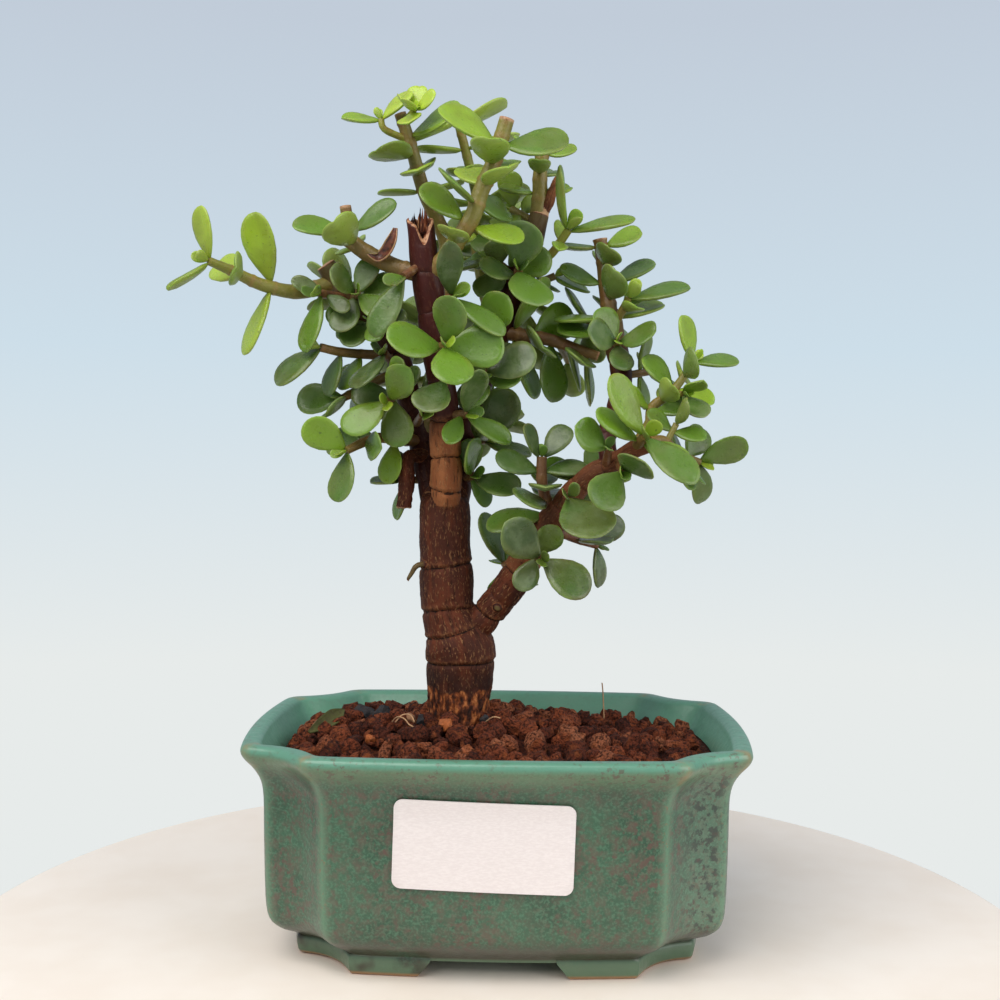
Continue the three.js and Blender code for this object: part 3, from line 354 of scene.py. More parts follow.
# Every finish here is uneven at some scale: this group is a soft-edged mask of blots of a given size.
def make_blots():
    group = bpy.data.node_groups.new("blots", "ShaderNodeTree")
    interface = group.interface
    interface.new_socket("Where", in_out="INPUT", socket_type="NodeSocketVector")
    for name, value in (("Per metre", 100.0), ("Detail", 3.0), ("Low", 0.4), ("High", 0.6)):
        socket = interface.new_socket(name, in_out="INPUT", socket_type="NodeSocketFloat")
        socket.default_value = value
    interface.new_socket("Mask", in_out="OUTPUT", socket_type="NodeSocketFloat")
    nodes = Nodes(group)
    given = nodes.node("NodeGroupInput").outputs
    cloud = nodes.put("ShaderNodeTexNoise", {"Vector": given["Where"], "Scale": given["Per metre"],
                                             "Detail": given["Detail"], "Roughness": 0.6})
    nodes.node("NodeGroupOutput", {"Mask": nodes.between(cloud, given["Low"], given["High"], soft=True)})
    return group


BLOTS = make_blots()


class Finish(Nodes):
    """A material in the making: a ground tone, and coats that are laid over it through masks."""

    def __init__(self, name, roughness, specular=0.5):
        self.material = bpy.data.materials.new(name)
        self.material.use_nodes = True
        super().__init__(self.material.node_tree)
        self.shader = self.tree.nodes["Principled BSDF"].inputs
        self.fix({"Roughness": roughness, "Specular IOR Level": specular})
        self.where = self.drawn_out(self.put("ShaderNodeTexCoord", out="Object"), 1)
        self.tone = None

    def fix(self, values):
        for name, value in values.items():
            self.shader[name].default_value = value

    def feed(self, name, socket):
        self.tree.links.new(socket, self.shader[name])

    def attribute(self, name, out="Fac"):
        return self.put("ShaderNodeAttribute", out=out, attribute_name=name)

    def drawn_out(self, where, height):
        """The same place with its height scaled, which draws a pattern out along it or packs it."""
        return self.put("ShaderNodeMapping", {"Vector": where, "Scale": (1, 1, height)})

    def blots(self, per_metre, low, high, detail=3.0, where=None):
        inputs = {"Where": where or self.where, "Per metre": per_metre, "Low": low, "High": high,
                  "Detail": detail}
        return self.put("ShaderNodeGroup", inputs, node_tree=BLOTS)

    def coat(self, mask, colour, share=None):
        """Lays a colour over the tone so far where the mask is, at full strength or a share of it."""
        self.tone = self.mixed(mask if share is None else self.times(mask, share), self.tone, colour)

    def relief(self, height, strength, depth):
        inputs = {"Height": height, "Strength": strength, "Distance": depth}
        self.feed("Normal", self.put("ShaderNodeBump", inputs))

    def done(self):
        self.feed("Base Color", self.tone)
        return self.material


def make_glaze():
    glaze = Finish("teal_glaze", 0.34)
    split = glaze.node("ShaderNodeSeparateXYZ", {0: glaze.where}).outputs
    height = split["Z"]
    glaze.tone = glaze.mixed(glaze.blots(55, 0.35, 0.65), (40, 74, 54), (56, 92, 69))
    glaze.coat(glaze.blots(1700, 0.44, 0.64), (86, 130, 102), 0.5)
    # Purple-brown spots crowd together in some places, most of all on the right corner.
    crowd = glaze.sum("ADD", glaze.times(glaze.blots(80, 0.36, 0.64, 4), 0.65), 0.35)
    right = glaze.between(split["X"], POT_MIDDLE + 0.038, POT_MIDDLE + 0.046)
    glaze.coat(glaze.times(glaze.blots(520, 0.4, 0.64, 6), crowd), (98, 77, 67), 0.72)
    glaze.coat(right, (124, 150, 128), 0.3)
    glaze.coat(glaze.times(glaze.blots(620, 0.49, 0.58, 6), right), (56, 58, 54), 0.8)
    glaze.coat(glaze.between(height, 0.0445, 0.049, soft=True), (112, 142, 106), 0.5)
    fine = glaze.times(glaze.blots(700, 0.54, 0.63, 4), crowd)
    glaze.coat(fine, (94, 68, 60), 0.8)
    # The lip and the inner wall are cleaner and bluer; the lip's spots show through.
    # The narrow lighter band along the lip's crest is partly a painted highlight.
    lip = glaze.times(glaze.between(height, 0.0495, 0.0512, soft=True), glaze.between(fine, to=(0.8, 0.3)))
    glaze.coat(glaze.sum("MAXIMUM", lip, glaze.times(glaze.attribute("inner_wall"), 0.75)), (92, 148, 126))
    ridge = glaze.times(glaze.attribute("ridge"), 0.6)
    glaze.coat(ridge, (104, 144, 114))
    glaze.coat(glaze.times(glaze.blots(900, 0.6, 0.68), ridge), (140, 92, 66))
    # Low on the bowl above the feet the glaze is browner, and also darkened as painted shade in the recess.
    tuck_brown_and_shade = glaze.between(height, 0.012, 0.007, soft=True)
    glaze.coat(glaze.times(tuck_brown_and_shade, glaze.blots(60, 0.2, 0.5)), (60, 54, 40), 0.9)
    foot = glaze.between(height, 0.0052, 0.0042, soft=True)
    glaze.coat(glaze.times(foot, glaze.blots(75, 0.32, 0.46)), (92, 122, 94), 0.75)
    thin = glaze.attribute("thin_glaze")
    broken = glaze.times(glaze.times(thin, glaze.blots(260, 0.3, 0.6)), 0.55)
    bare_foot = glaze.times(thin, glaze.between(height, 0.03, 0.01))
    glaze.coat(glaze.sum("MAXIMUM", broken, bare_foot), (158, 116, 72))
    ripple = glaze.blots(420, 0.2, 0.8, 4)
    glaze.relief(ripple, 0.2, 0.0004)
    glaze.feed("Roughness", glaze.between(ripple, to=(0.3, 0.46)))
    glaze.fix({"Coat Weight": 0.25, "Coat Roughness": 0.2})
    return glaze.done()


pot_body.data.materials.append(make_glaze())
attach(pot_body, "root")
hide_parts("pot")

# A square of moulded plastic mesh lies over each drainage hole, under the soil, to keep the grit in.
MESH_SIDE = 19
MESH_BAR = 0.8
MESH_BARS = 8
GAP = 0.35
MESH_MIDDLE = POT_INSIDE[-1][0] + GAP + MESH_BAR / 2


class Growth(Nodes):
    """A tree of nodes with named inputs, which grows a shape on a piece's points."""

    def __init__(self, name, inputs):
        super().__init__(bpy.data.node_groups.new(name, "GeometryNodeTree"))
        self.tree.is_modifier = True
        self.sockets = {}
        for socket, kind in {"Geometry": "Geometry", **inputs}.items():
            self.sockets[socket] = self.tree.interface.new_socket(
                socket, in_out="INPUT", socket_type="NodeSocket" + kind).identifier
        self.tree.interface.new_socket("Geometry", in_out="OUTPUT", socket_type="NodeSocketGeometry")
        self.given = self.node("NodeGroupInput").outputs

    def vector(self, x, y, z):
        return self.put("ShaderNodeCombineXYZ", {"X": x, "Y": y, "Z": z})

    def named(self, name, kind="FLOAT"):
        return self.put("GeometryNodeInputNamedAttribute", {"Name": name}, data_type=kind)

    def real(self, geometry):
        return self.put("GeometryNodeRealizeInstances", {"Geometry": geometry})

    def skinned(self, geometry, **inputs):
        return self.put("GeometryNodeSetMaterial", {"Geometry": geometry, **inputs})

    def grow(self, piece, values):
        """Grows the shape on a piece, with the tree's inputs set by their identifiers."""
        modifier = piece.modifiers.new("growth", "NODES")
        modifier.node_group = self.tree
        for name, value in values.items():
            modifier[self.sockets[name]] = value
        return applied(piece)


def make_bars():
    """Bars of one length, set side by side at an even pitch, crossed by a second set."""
    bars = Growth("crossed_bars", {
        "Side": "Float", "Bar width": "Float", "Bars": "Int", "Material": "Material"})
    side, width, count = (bars.given[name] for name in ("Side", "Bar width", "Bars"))
    span = bars.sum("SUBTRACT", side, width)
    pitch = bars.sum("DIVIDE", span, bars.sum("SUBTRACT", count, 1.0))
    bar = bars.put("GeometryNodeMeshCube", {"Size": bars.vector(side, width, width)})
    row = bars.put("GeometryNodeMeshLine", {
        "Count": count, "Start Location": bars.vector(0, bars.times(span, -0.5), 0),
        "Offset": bars.vector(0, pitch, 0)}, mode="OFFSET")
    laid = bars.real(bars.put("GeometryNodeInstanceOnPoints", {"Points": row, "Instance": bar}))
    turned = bars.put("GeometryNodeTransform", {"Geometry": laid, "Rotation": (0, 0, math.pi / 2),
                                                "Scale": (1, 1, 0.8)})
    both = bars.real(bars.put("GeometryNodeJoinGeometry", {0: [laid, turned]}))
    bars.node("NodeGroupOutput", {"Geometry": bars.skinned(both, Material=bars.given["Material"])})
    return bars


def make_mesh_plastic():
    plastic = Finish("drain_mesh_plastic", 0.55)
    plastic.tone = plastic.mixed(plastic.blots(500, 0.5, 0.75), (38, 42, 42), (92, 70, 58))
    return plastic.done()


bars = make_bars()
mesh_plastic = make_mesh_plastic()
for side, node in ((-1, "drain_mesh_left"), (1, "drain_mesh_right")):
    square = mesh_object(node + "_grid", [(0, 0, 0)], [])
    bars.grow(square, {"Side": MESH_SIDE * MM, "Bar width": MESH_BAR * MM, "Bars": MESH_BARS,
                       "Material": mesh_plastic})
    square.data.transform(Matrix.Translation(place((side * DRAIN_OFFSET, 0, MESH_MIDDLE))))
    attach(square, "root")
    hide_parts(node)

# The soil is red-brown lava grit, three to ten millimetres across: a bed mounded up to the trunk, covered
# with loose angular grains. A dead leaf, a straw curl, an upright fibre and two paler bits lie on it.
BED_EDGE = 46.2
BED_LEVELS = [POT_INSIDE[-1][0] + GAP, 14, 28, 41, BED_EDGE - 0.6]
BED_SHARES = [0.97, 0.9, 0.8, 0.7, 0.6, 0.5, 0.4, 0.3, 0.22]
MOUND_RISE = 5.2
MOUND_REACH = [34, 25]
TRUNK_FOOT = [-10, 4]
GRAIN_SEED = 41
GRAIN_COUNT = 70
SMALL_GRAINS = 250
# Both kinds of grain as smallest and largest radius, how much smaller ones prevail, and room at the trunk.
LARGE_GRAIN = [2.0, 3.7, 1.5, 7]
SMALL_GRAIN = [1.5, 3.3, 1.3, 7.6]
UNUSED_DRAWS = 14
MASK = 0xFFFFFFFF


def random_from(seed):
    state = seed & MASK

    def draw():
        nonlocal state
        state = (state + 0x6D2B79F5) & MASK
        t = state
        t = ((t ^ (t >> 15)) * (t | 1)) & MASK
        t ^= (t + (((t ^ (t >> 7)) * (t | 61)) & MASK)) & MASK
        return ((t ^ (t >> 14)) & MASK) / 4294967296

    return draw


def inset_at(rows, height):
    """How far in from the rim's outline a wall's section lies at a height."""
    for upper, lower in zip(rows, rows[1:]):
        t = (upper[0] - height) / (upper[0] - lower[0])
        if 0 <= t <= 1:
            return upper[1] + t * (lower[1] - upper[1])
    return rows[0][1]


def mound_height(x, y):
    dx = (x - TRUNK_FOOT[0]) / MOUND_REACH[0]
    dy = (y - TRUNK_FOOT[1]) / MOUND_REACH[1]
    return BED_EDGE + MOUND_RISE * math.exp(-(dx * dx + dy * dy))


def lies_inside(x, y, room):
    """Whether a grain at a place keeps that room from the pot's inner wall."""
    w, d, _, _ = panel_ends(inset_at(POT_INSIDE, BED_EDGE) + room)
    corner = abs(x) / w * 0.62 + abs(y) / d * 0.62
    return abs(x) < w and abs(y) < d and corner < 1.0


def drawn_grain(random, least, most, power, trunk_room):
    """A grain's place and radius, and whether it lies clear of the trunk."""
    w, d, _, _ = panel_ends(inset_at(POT_INSIDE, BED_EDGE))
    x = (random() * 2 - 1) * w
    y = (random() * 2 - 1) * d
    radius = least + (most - least) * random() ** power
    return x, y, radius, math.hypot(x - TRUNK_FOOT[0], y - TRUNK_FOOT[1]) >= trunk_room


def crowded(grains, x, y, radius, room):
    return any(math.hypot(g[0] - x, g[1] - y) < room * (g[3] + radius) for g in grains)


def grain_places():
    """The large grains of the solid bed, by the same draws, then smaller ones in the gaps between."""
    random = random_from(GRAIN_SEED)
    large = []
    while len(large) < GRAIN_COUNT:
        x, y, radius, clear = drawn_grain(random, *LARGE_GRAIN)
        if not clear or crowded(large, x, y, radius, 0.92):
            continue
        for _ in range(UNUSED_DRAWS):
            random()
        large.append((x, y, mound_height(x, y) + 0.25 * radius, radius))
    grains = [g for g in large if lies_inside(g[0], g[1], 0.55 * g[3])]
    for _ in range(12000):
        x, y, radius, clear = drawn_grain(random, *SMALL_GRAIN)
        if not clear or not lies_inside(x, y, 0.8 * radius) or crowded(grains, x, y, radius, 0.62):
            continue
        grains.append((x, y, mound_height(x, y) + 0.3 * radius + 0.9 * random(), radius))
        if len(grains) == GRAIN_COUNT + SMALL_GRAINS:
            break
    return grains


def make_lump(name, seed):
    """An angular grain of radius one: a ball cut flat by a few planes, then roughened."""
    random = random_from(seed + 11)
    shape = bmesh.new()
    bmesh.ops.create_icosphere(shape, subdivisions=2, radius=1)
    planes = []
    for _ in range(9):
        way = Vector((random() - 0.5, random() - 0.5, random() - 0.5)).normalized()
        planes.append((way, 0.62 + 0.26 * random()))
    for vertex in shape.verts:
        for way, reach in planes:
            over = vertex.co.dot(way) - reach
            if over > 0:
                vertex.co -= way * over * 0.9
        rough = 0.34 * noise.noise(vertex.co * 1.9 + Vector((seed * 7.3, 0, 0)))
        rough += 0.27 * noise.noise(vertex.co * 4.2 + Vector((0, seed * 3.7, 0)))
        vertex.co = Vector((vertex.co.x * 1.15, vertex.co.y * 0.98, vertex.co.z * 0.84)) * (1 + rough)
    mesh = bpy.data.meshes.new(name)
    shape.to_mesh(mesh)
    shape.free()
    return bpy.data.objects.new(name, mesh)


def make_scatter():
    """Shapes of a collection set on points, each with its own turn, size, form and tint."""
    grit = Growth("scattered_grains", {
        "Shapes": "Collection", "Size": "Float", "Seed": "Int", "Material": "Material"})
    given = grit.given
    shapes = grit.put("GeometryNodeCollectionInfo", {
        "Collection": given["Shapes"], "Separate Children": True, "Reset Children": True})
    full_turn = (6.28, 6.28, 6.28)
    random_value = "FunctionNodeRandomValue"
    turn = grit.put(random_value, {"Max": full_turn, "Seed": given["Seed"]}, data_type="FLOAT_VECTOR")
    form = grit.put(random_value, {"Max": 1000, "Seed": given["Seed"]}, 2, data_type="INT")
    index = grit.put("GeometryNodeInputIndex")
    tint = grit.put(random_value, {"Seed": given["Seed"], "ID": index}, 1, data_type="FLOAT")
    laid = grit.put("GeometryNodeInstanceOnPoints", {
        "Points": given["Geometry"], "Instance": shapes, "Pick Instance": True, "Instance Index": form,
        "Rotation": turn, "Scale": grit.times(grit.named("grain_radius"), given["Size"])})
    tinted = grit.put("GeometryNodeStoreNamedAttribute",
                      {"Geometry": laid, "Name": "grain_tint", "Value": tint},
                      data_type="FLOAT", domain="INSTANCE")
    grit.node("NodeGroupOutput", {"Geometry": grit.skinned(grit.real(tinted), Material=given["Material"])})
    return grit


def make_grit():
    grit = Finish("lava_grit", 0.9, 0.25)
    base = grit.ramped(grit.attribute("grain_tint"), [(0.0, (80, 35, 22)), (0.4, (124, 59, 35)),
                                                      (0.8, (154, 78, 46)), (1.0, (188, 115, 80))])
    pits = grit.blots(1500, 0.4, 0.56, 5)
    grit.tone = grit.mixed(pits, grit.mixed(0.8, base, (26, 9, 6)), base)
    grit.coat(grit.blots(330, 0.52, 0.68, 4), (178, 96, 50), 0.5)
    grit.relief(grit.blots(900, 0.25, 0.75, 6), 1.0, 0.0016)
    return grit.done()


def make_bed():
    rings = [pot_outline(inset_at(POT_INSIDE, height) + GAP, height) for height in BED_LEVELS]
    edge = rings[-1]
    for share in BED_SHARES:
        ring = []
        for x, y, _ in edge:
            px = TRUNK_FOOT[0] * (1 - share) + x * share
            py = TRUNK_FOOT[1] * (1 - share) + y * share
            ripple = 0.5 * noise.noise(Vector((px * 0.6, py * 0.6, 0)))
            ring.append((px, py, mound_height(px, py) - 0.7 + ripple))
        rings.append(ring)
    faces = skin_faces(len(rings), len(edge), capped=True)
    bed = placed_object("soil_bed", [p for ring in rings for p in ring], faces)
    point_values(bed, "grain_tint", 0.15)
    return bed


# Lumps as [tint, place, radius]; the tint is 0 for charcoal, 0.4 for a pebble and 0.7 for an orange grain.
LITTER_LUMPS = [
    [0.0, [-34.5, 11, 51.6], 2.7], [0.0, [-29.5, 10, 52.2], 2.3], [0.0, [-31.5, 7.5, 51.8], 1.6],
    [0.0, [-18.6, -4.0, 53.0], 1.4], [0.0, [-3.5, -3.5, 53.4], 1.2], [0.4, [-44.5, 1.5, 49.8], 2.2],
    [0.4, [-21.5, -2.5, 53.2], 1.5], [0.7, [-12.5, -8.5, 53.0], 2.0], [0.7, [-30.0, -14, 50.6], 1.3],
]
LEAF_TINT = 0.9
STRAW_TINT = 1.0
DEAD_LEAF = [[-46.0, -6.5, 50.4], [-43.6, -3.2, 51.2], [-41.0, 1.2, 52.4], [-39.2, 4.6, 53.6]]
DEAD_LEAF_HALF = [0.5, 1.9, 2.2, 0.3]
DEAD_LEAF_FACING = (0.25, -0.75, 0.6)
DEAD_LEAF_CURL = 0.9
DEAD_LEAF_THICK = 0.7
STRAWS = [
    [[-26, -4, 52.6], [-24.6, -5.6, 54.2], [-22.8, -6.4, 54.0], [-21.6, -7.4, 52.9], [-20.2, -8.6, 52.4]],
    [[27.4, 20, 49.0], [27.2, 20.2, 52.5], [27.0, 20, 56.0], [26.7, 19.6, 58.6]],
    [[-3.0, -5.2, 53.2], [-1.2, -6.0, 54.6], [0.6, -6.2, 54.4]],
    [[-25, -6.2, 53.0], [-23.4, -5.0, 54.6], [-21.4, -5.2, 54.6], [-20.2, -6.6, 53.2]],
]
STRAW_RADIUS = 0.17
SHELL_ACROSS = 9


def centre_line(route, step):
    """Even sections along a route, as arrays of points, radii and distances from the foot."""
    rows = np.array(smooth_rows(route, 8))
    gaps = np.linalg.norm(np.diff(rows[:, :3], axis=0), axis=1)
    distance = np.concatenate([[0], np.cumsum(gaps)])
    count = max(2, int(round(distance[-1] / step)))
    even = np.linspace(0, distance[-1], count + 1)
    rows = np.stack([np.interp(even, distance, rows[:, axis]) for axis in range(4)], axis=1)
    return rows[:, :3], rows[:, 3], even


def line_frames(points):
    """Directions along, across and third at each section, carried along without twist."""
    along = np.gradient(points, axis=0)
    along /= np.linalg.norm(along, axis=1)[:, None]
    start = np.array([1.0, 0, 0]) if abs(along[0][0]) < 0.8 else np.array([0, 1.0, 0])
    across = []
    for way in along:
        start = start - way * start.dot(way)
        start = start / np.linalg.norm(start)
        across.append(start)
    across = np.array(across)
    return along, across, np.cross(along, across)


def tube_mesh(route, sides, step):
    points, radii, _ = centre_line(route, step)
    _, across, third = line_frames(points)
    angles = np.arange(sides) * 2 * math.pi / sides
    rings = [p + r * (np.outer(np.cos(angles), a) + np.outer(np.sin(angles), t))
             for p, r, a, t in zip(points, radii, across, third)]
    return np.concatenate(rings), skin_faces(len(rings), sides, capped=True)


def thin_shell(line, halves, facing, cup, thick):
    """A closed leaf-like sheet along a line, by its half widths and by how strongly its sides curl up."""
    rows = np.array(smooth_rows([list(p) + [h] for p, h in zip(line, halves)], 6))
    middle, half = rows[:, :3], np.maximum(rows[:, 3], 0.12)
    along = np.gradient(middle, axis=0)
    along /= np.linalg.norm(along, axis=1)[:, None]
    side = np.cross(along, np.array(facing, dtype=float))
    side /= np.linalg.norm(side, axis=1)[:, None]
    up = np.cross(side, along)
    points = []
    for layer in (0.5, -0.5):
        for p, h, a, b in zip(middle, half, side, up):
            reach = h / cup
            for k in range(SHELL_ACROSS):
                turn = cup * (2 * k / (SHELL_ACROSS - 1) - 1)
                rise = (1 - math.cos(turn)) * reach + thick * layer
                points.append(p + a * math.sin(turn) * reach + b * rise)
    size = len(middle) * SHELL_ACROSS
    last_row = size - SHELL_ACROSS
    faces = []
    for row in range(0, last_row, SHELL_ACROSS):
        for a in range(row, row + SHELL_ACROSS - 1):
            faces.append((a, a + 1, a + SHELL_ACROSS + 1, a + SHELL_ACROSS))
            b = a + size
            faces.append((b, b + SHELL_ACROSS, b + SHELL_ACROSS + 1, b + 1))
    edge = list(range(SHELL_ACROSS - 1)) + list(range(SHELL_ACROSS - 1, size, SHELL_ACROSS))
    edge += list(range(size - 2, last_row - 1, -1)) + list(range(last_row - SHELL_ACROSS, 0, -SHELL_ACROSS))
    for a, b in zip(edge, edge[1:] + edge[:1]):
        faces.append((b, a, a + size, b + size))
    return points, faces


def make_litter():
    """Charcoal, pebbles and other bits as cut lumps, with dry straws and one dead leaf."""
    made = []
    for k, (tint, at, radius) in enumerate(LITTER_LUMPS):
        lump = make_lump("litter_%d" % k, 20 + k)
        lump.data.transform(Matrix.Translation(place(at)) @ Matrix.Rotation(1.3 * k, 4, (0.3, 0.5, 0.8))
                            @ Matrix.Scale(radius * MM, 4))
        bpy.context.scene.collection.objects.link(lump)
        made.append((lump, tint))
    for k, line in enumerate(STRAWS):
        straw = tube_mesh([[*p, STRAW_RADIUS] for p in line], 7, 0.5)
        made.append((placed_object("straw_%d" % k, *straw), STRAW_TINT))
    dead_leaf = thin_shell(DEAD_LEAF, DEAD_LEAF_HALF, DEAD_LEAF_FACING, DEAD_LEAF_CURL, DEAD_LEAF_THICK)
    made.append((placed_object("dead_leaf", *dead_leaf), LEAF_TINT))
    for piece, tint in made:
        face_outwards(piece)
        point_values(piece, "litter_tint", tint)
    return joined("litter", [piece for piece, _ in made])


def make_litter_finish():
    litter = Finish("soil_litter", 0.7, 0.4)
    charcoal, pebble, orange, olive = (30, 30, 34), (150, 108, 76), (164, 88, 40), (74, 76, 34)
    litter.tone = litter.ramped(litter.attribute("litter_tint"), [
        (0.0, charcoal), (0.1, charcoal), (0.35, pebble), (0.45, pebble), (0.65, orange), (0.75, orange),
        (0.88, olive), (0.92, olive), (1.0, (192, 148, 108))])
    litter.coat(litter.blots(700, 0.42, 0.62, 4), (58, 40, 30), 0.35)
    litter.relief(litter.blots(1500, 0.3, 0.7), 0.4, 0.0004)
    return litter.done()


grit = make_grit()
lumps = bpy.data.collections.new("grain_shapes")
for seed in range(6):
    lumps.objects.link(make_lump("lump_%d" % seed, seed))
grains = grain_places()
loose = placed_object("soil_grains", grains, [])
point_values(loose, "grain_radius", [g[3] for g in grains])
make_scatter().grow(loose, {"Shapes": lumps, "Size": MM, "Seed": GRAIN_SEED, "Material": grit})
bed = make_bed()
bed.data.materials.append(grit)
litter = make_litter()
litter.data.materials.append(make_litter_finish())
soil_body = joined("soil_surface", [loose, bed, litter])
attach(soil_body, "root")
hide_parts("soil")

# A blank paper label with rounded corners is stuck on the front wall and follows its bow.
LABEL_SIZE = [40, 20]
LABEL_THICK = 0.5
LABEL_CORNER = 2
CORNER_STEPS = 8
LABEL_STEP = 2.0
LABEL_CENTRE = [-2.2, 32.6]
LABEL_TILT = 0.028
LABEL_FACE = GAP + LABEL_THICK
# The sheet's rings, from its back edge over the front to the middle, as [share of its size, distance off].
LABEL_ROWS = [
    [1.0, GAP], [1.0, LABEL_FACE - 0.08], [0.994, LABEL_FACE], [0.9, LABEL_FACE], [0.75, LABEL_FACE],
    [0.6, LABEL_FACE], [0.45, LABEL_FACE], [0.3, LABEL_FACE], [0.15, LABEL_FACE],
]
LABEL_BACK = [0.75, 0.45, 0.15]


def on_front_wall(right, up, off):
    x = LABEL_CENTRE[0] + right * math.cos(LABEL_TILT) + up * math.sin(LABEL_TILT)
    z = LABEL_CENTRE[1] - right * math.sin(LABEL_TILT) + up * math.cos(LABEL_TILT)
    _, depth, front, _ = panel_ends(inset_at(POT_OUTSIDE, z))
    t = 0.5 + x / (2 * front)
    return (x, -depth - FRONT_BOW * 4 * t * (1 - t) - off, z)


def label_edge():
    """Points round the label's edge, anticlockwise from its right side, with its corners rounded."""
    edge = []
    for right, up, start in ((1, 1, 0), (-1, 1, 90), (-1, -1, 180), (1, -1, 270)):
        for step in range(CORNER_STEPS + 1):
            angle = math.radians(start + 90 * step / CORNER_STEPS)
            edge.append((right * (LABEL_SIZE[0] / 2 - LABEL_CORNER) + LABEL_CORNER * math.cos(angle),
                         up * (LABEL_SIZE[1] / 2 - LABEL_CORNER) + LABEL_CORNER * math.sin(angle)))
    dense = []
    for (x, y), (nx, ny) in zip(edge, edge[1:] + edge[:1]):
        steps = max(1, int(math.hypot(nx - x, ny - y) / LABEL_STEP))
        dense += [(x + (nx - x) * s / steps, y + (ny - y) * s / steps) for s in range(steps)]
    return dense


def make_label():
    edge = label_edge()
    size = len(edge)
    points = [on_front_wall(x * share, y * share, off) for share, off in LABEL_ROWS for x, y in edge]
    back = len(points) + 1
    faces = skin_faces(len(LABEL_ROWS), size) + fan_faces(back - 1, back - 1 - size, size)
    points.append(on_front_wall(0, 0, LABEL_FACE))
    points += [on_front_wall(x * share, y * share, GAP) for share in LABEL_BACK for x, y in edge]
    # The back's first ring joins the sheet's first, and its others follow on inwards.
    for ring, inner in ((0, back), (back, back + size), (back + size, back + 2 * size)):
        turns = [(k, (k + 1) % size) for k in range(size)]
        faces += [(ring + a, inner + a, inner + b, ring + b) for a, b in turns]
    faces += fan_faces(len(points), back + 2 * size, size, True)
    points.append(on_front_wall(0, 0, GAP))
    label = placed_object("label_sheet", points, faces)
    face_outwards(label)
    label.data.set_sharp_from_angle(angle=math.radians(35))
    return label


def make_label_paper():
    paper = Finish("label_paper", 0.5, 0.4)
    packed = paper.drawn_out(paper.put("ShaderNodeTexCoord", out="Object"), 3)
    fibre = paper.blots(900, 0.35, 0.7, 4, packed)
    paper.tone = paper.mixed(fibre, (228, 218, 216), (236, 227, 225))
    paper.coat(paper.blots(120, 0.6, 0.8), (214, 208, 202), 0.25)
    paper.relief(fibre, 0.04, 0.0002)
    return paper.done()


label = make_label()
label.data.materials.append(make_label_paper())
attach(label, "root")
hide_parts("label")

# The wood is one grown body: a stout trunk that forks into a front, a left and a right stem, with one low
# branch and its leader. Bark is ringed at the old leaf nodes and furrowed along; cut ends are pale.
WOOD = {
    "trunk": [
        [-10, 4, 29, 7.2], [-10, 4, 46, 7.5], [-10, 4, 56, 7.8], [-10, 4, 63, 8.3], [-10, 4, 70, 8.6],
        [-11.5, 4, 75, 7.3], [-13, 4, 80, 6.5], [-13.5, 4, 90, 6.6], [-14, 4, 98, 6.4], [-14, 4, 106, 6.1],
    ],
    "front": [
        [-13.5, 2.4, 103, 3.5], [-13.4, 0.4, 108, 3.7], [-13.4, 0, 110, 3.7], [-13.5, -2, 122, 3.6],
        [-14, -4, 130, 3.5], [-15, -6, 139, 3.1], [-16.5, -7, 150, 3.2], [-18, -8, 162, 3.6],
        [-19, -8, 170, 3.4], [-19.5, -8, 175, 3.4],
    ],
    "left": [
        [-16, 6, 102, 3.4], [-18.5, 9, 112, 2.9], [-21, 12, 122, 2.9], [-24, 12, 133, 2.8],
        [-27, 10, 144, 2.8], [-33, 8, 151, 2.8], [-38, 6, 157, 2.9], [-42, 4, 162, 2.7], [-44, 3, 165, 2.5],
    ],
    "right": [
        [-12, 6, 103, 3.6], [-10.5, 8, 113, 3.3], [-9.5, 9, 124, 3.2], [-6, 10, 135, 3.2], [-3, 9, 145, 3.3],
        [0, 8, 153, 3.4], [4, 6, 162, 3.4], [7, 5, 171, 2.9], [9, 5, 178, 2.5],
    ],
    "low": [
        [-9, 4, 69, 4.4], [-6, 3, 75, 4.0], [-2, 2, 80, 3.8], [2, 0, 85, 3.7], [6, -2, 92, 3.7],
        [9, -4, 97, 3.4], [13, -7, 103, 3.2], [17, -10, 109, 2.7], [22, -13, 114, 2.4], [27, -16, 117, 2.2],
        [31, -19, 120, 2.2], [35, -21, 122, 2.3],
    ],
    "leader": [
        [26, -15, 116, 2.2], [25, -13, 122, 2.2], [27, -10, 128, 2.1], [29, -6, 134, 2.3],
        [29, -2, 140, 2.5], [28, 2, 146, 2.6], [27, 5, 152, 2.6],
    ],
}
# Dead and broken ends: a withered stub, a thin dead twig and a bent peg.
SNAGS = {
    "snag0": [[-20, 9, 118, 1.6], [-23.5, 4, 117, 1.8], [-23.5, 3, 110, 2.0], [-24, 3, 105, 1.7]],
    "snag1": [[9, 5, 176, 1.5], [12, 4, 183, 1.2], [13.6, 4, 187, 0.9]],
    "snag2": [[-17, 1, 91, 0.9], [-20.3, -1.2, 91, 1.0], [-21.6, -1.3, 89.2, 0.8],
              [-22.8, -1.4, 87.2, 0.45]],
}
WOOD_LINES = {**WOOD, **SNAGS}
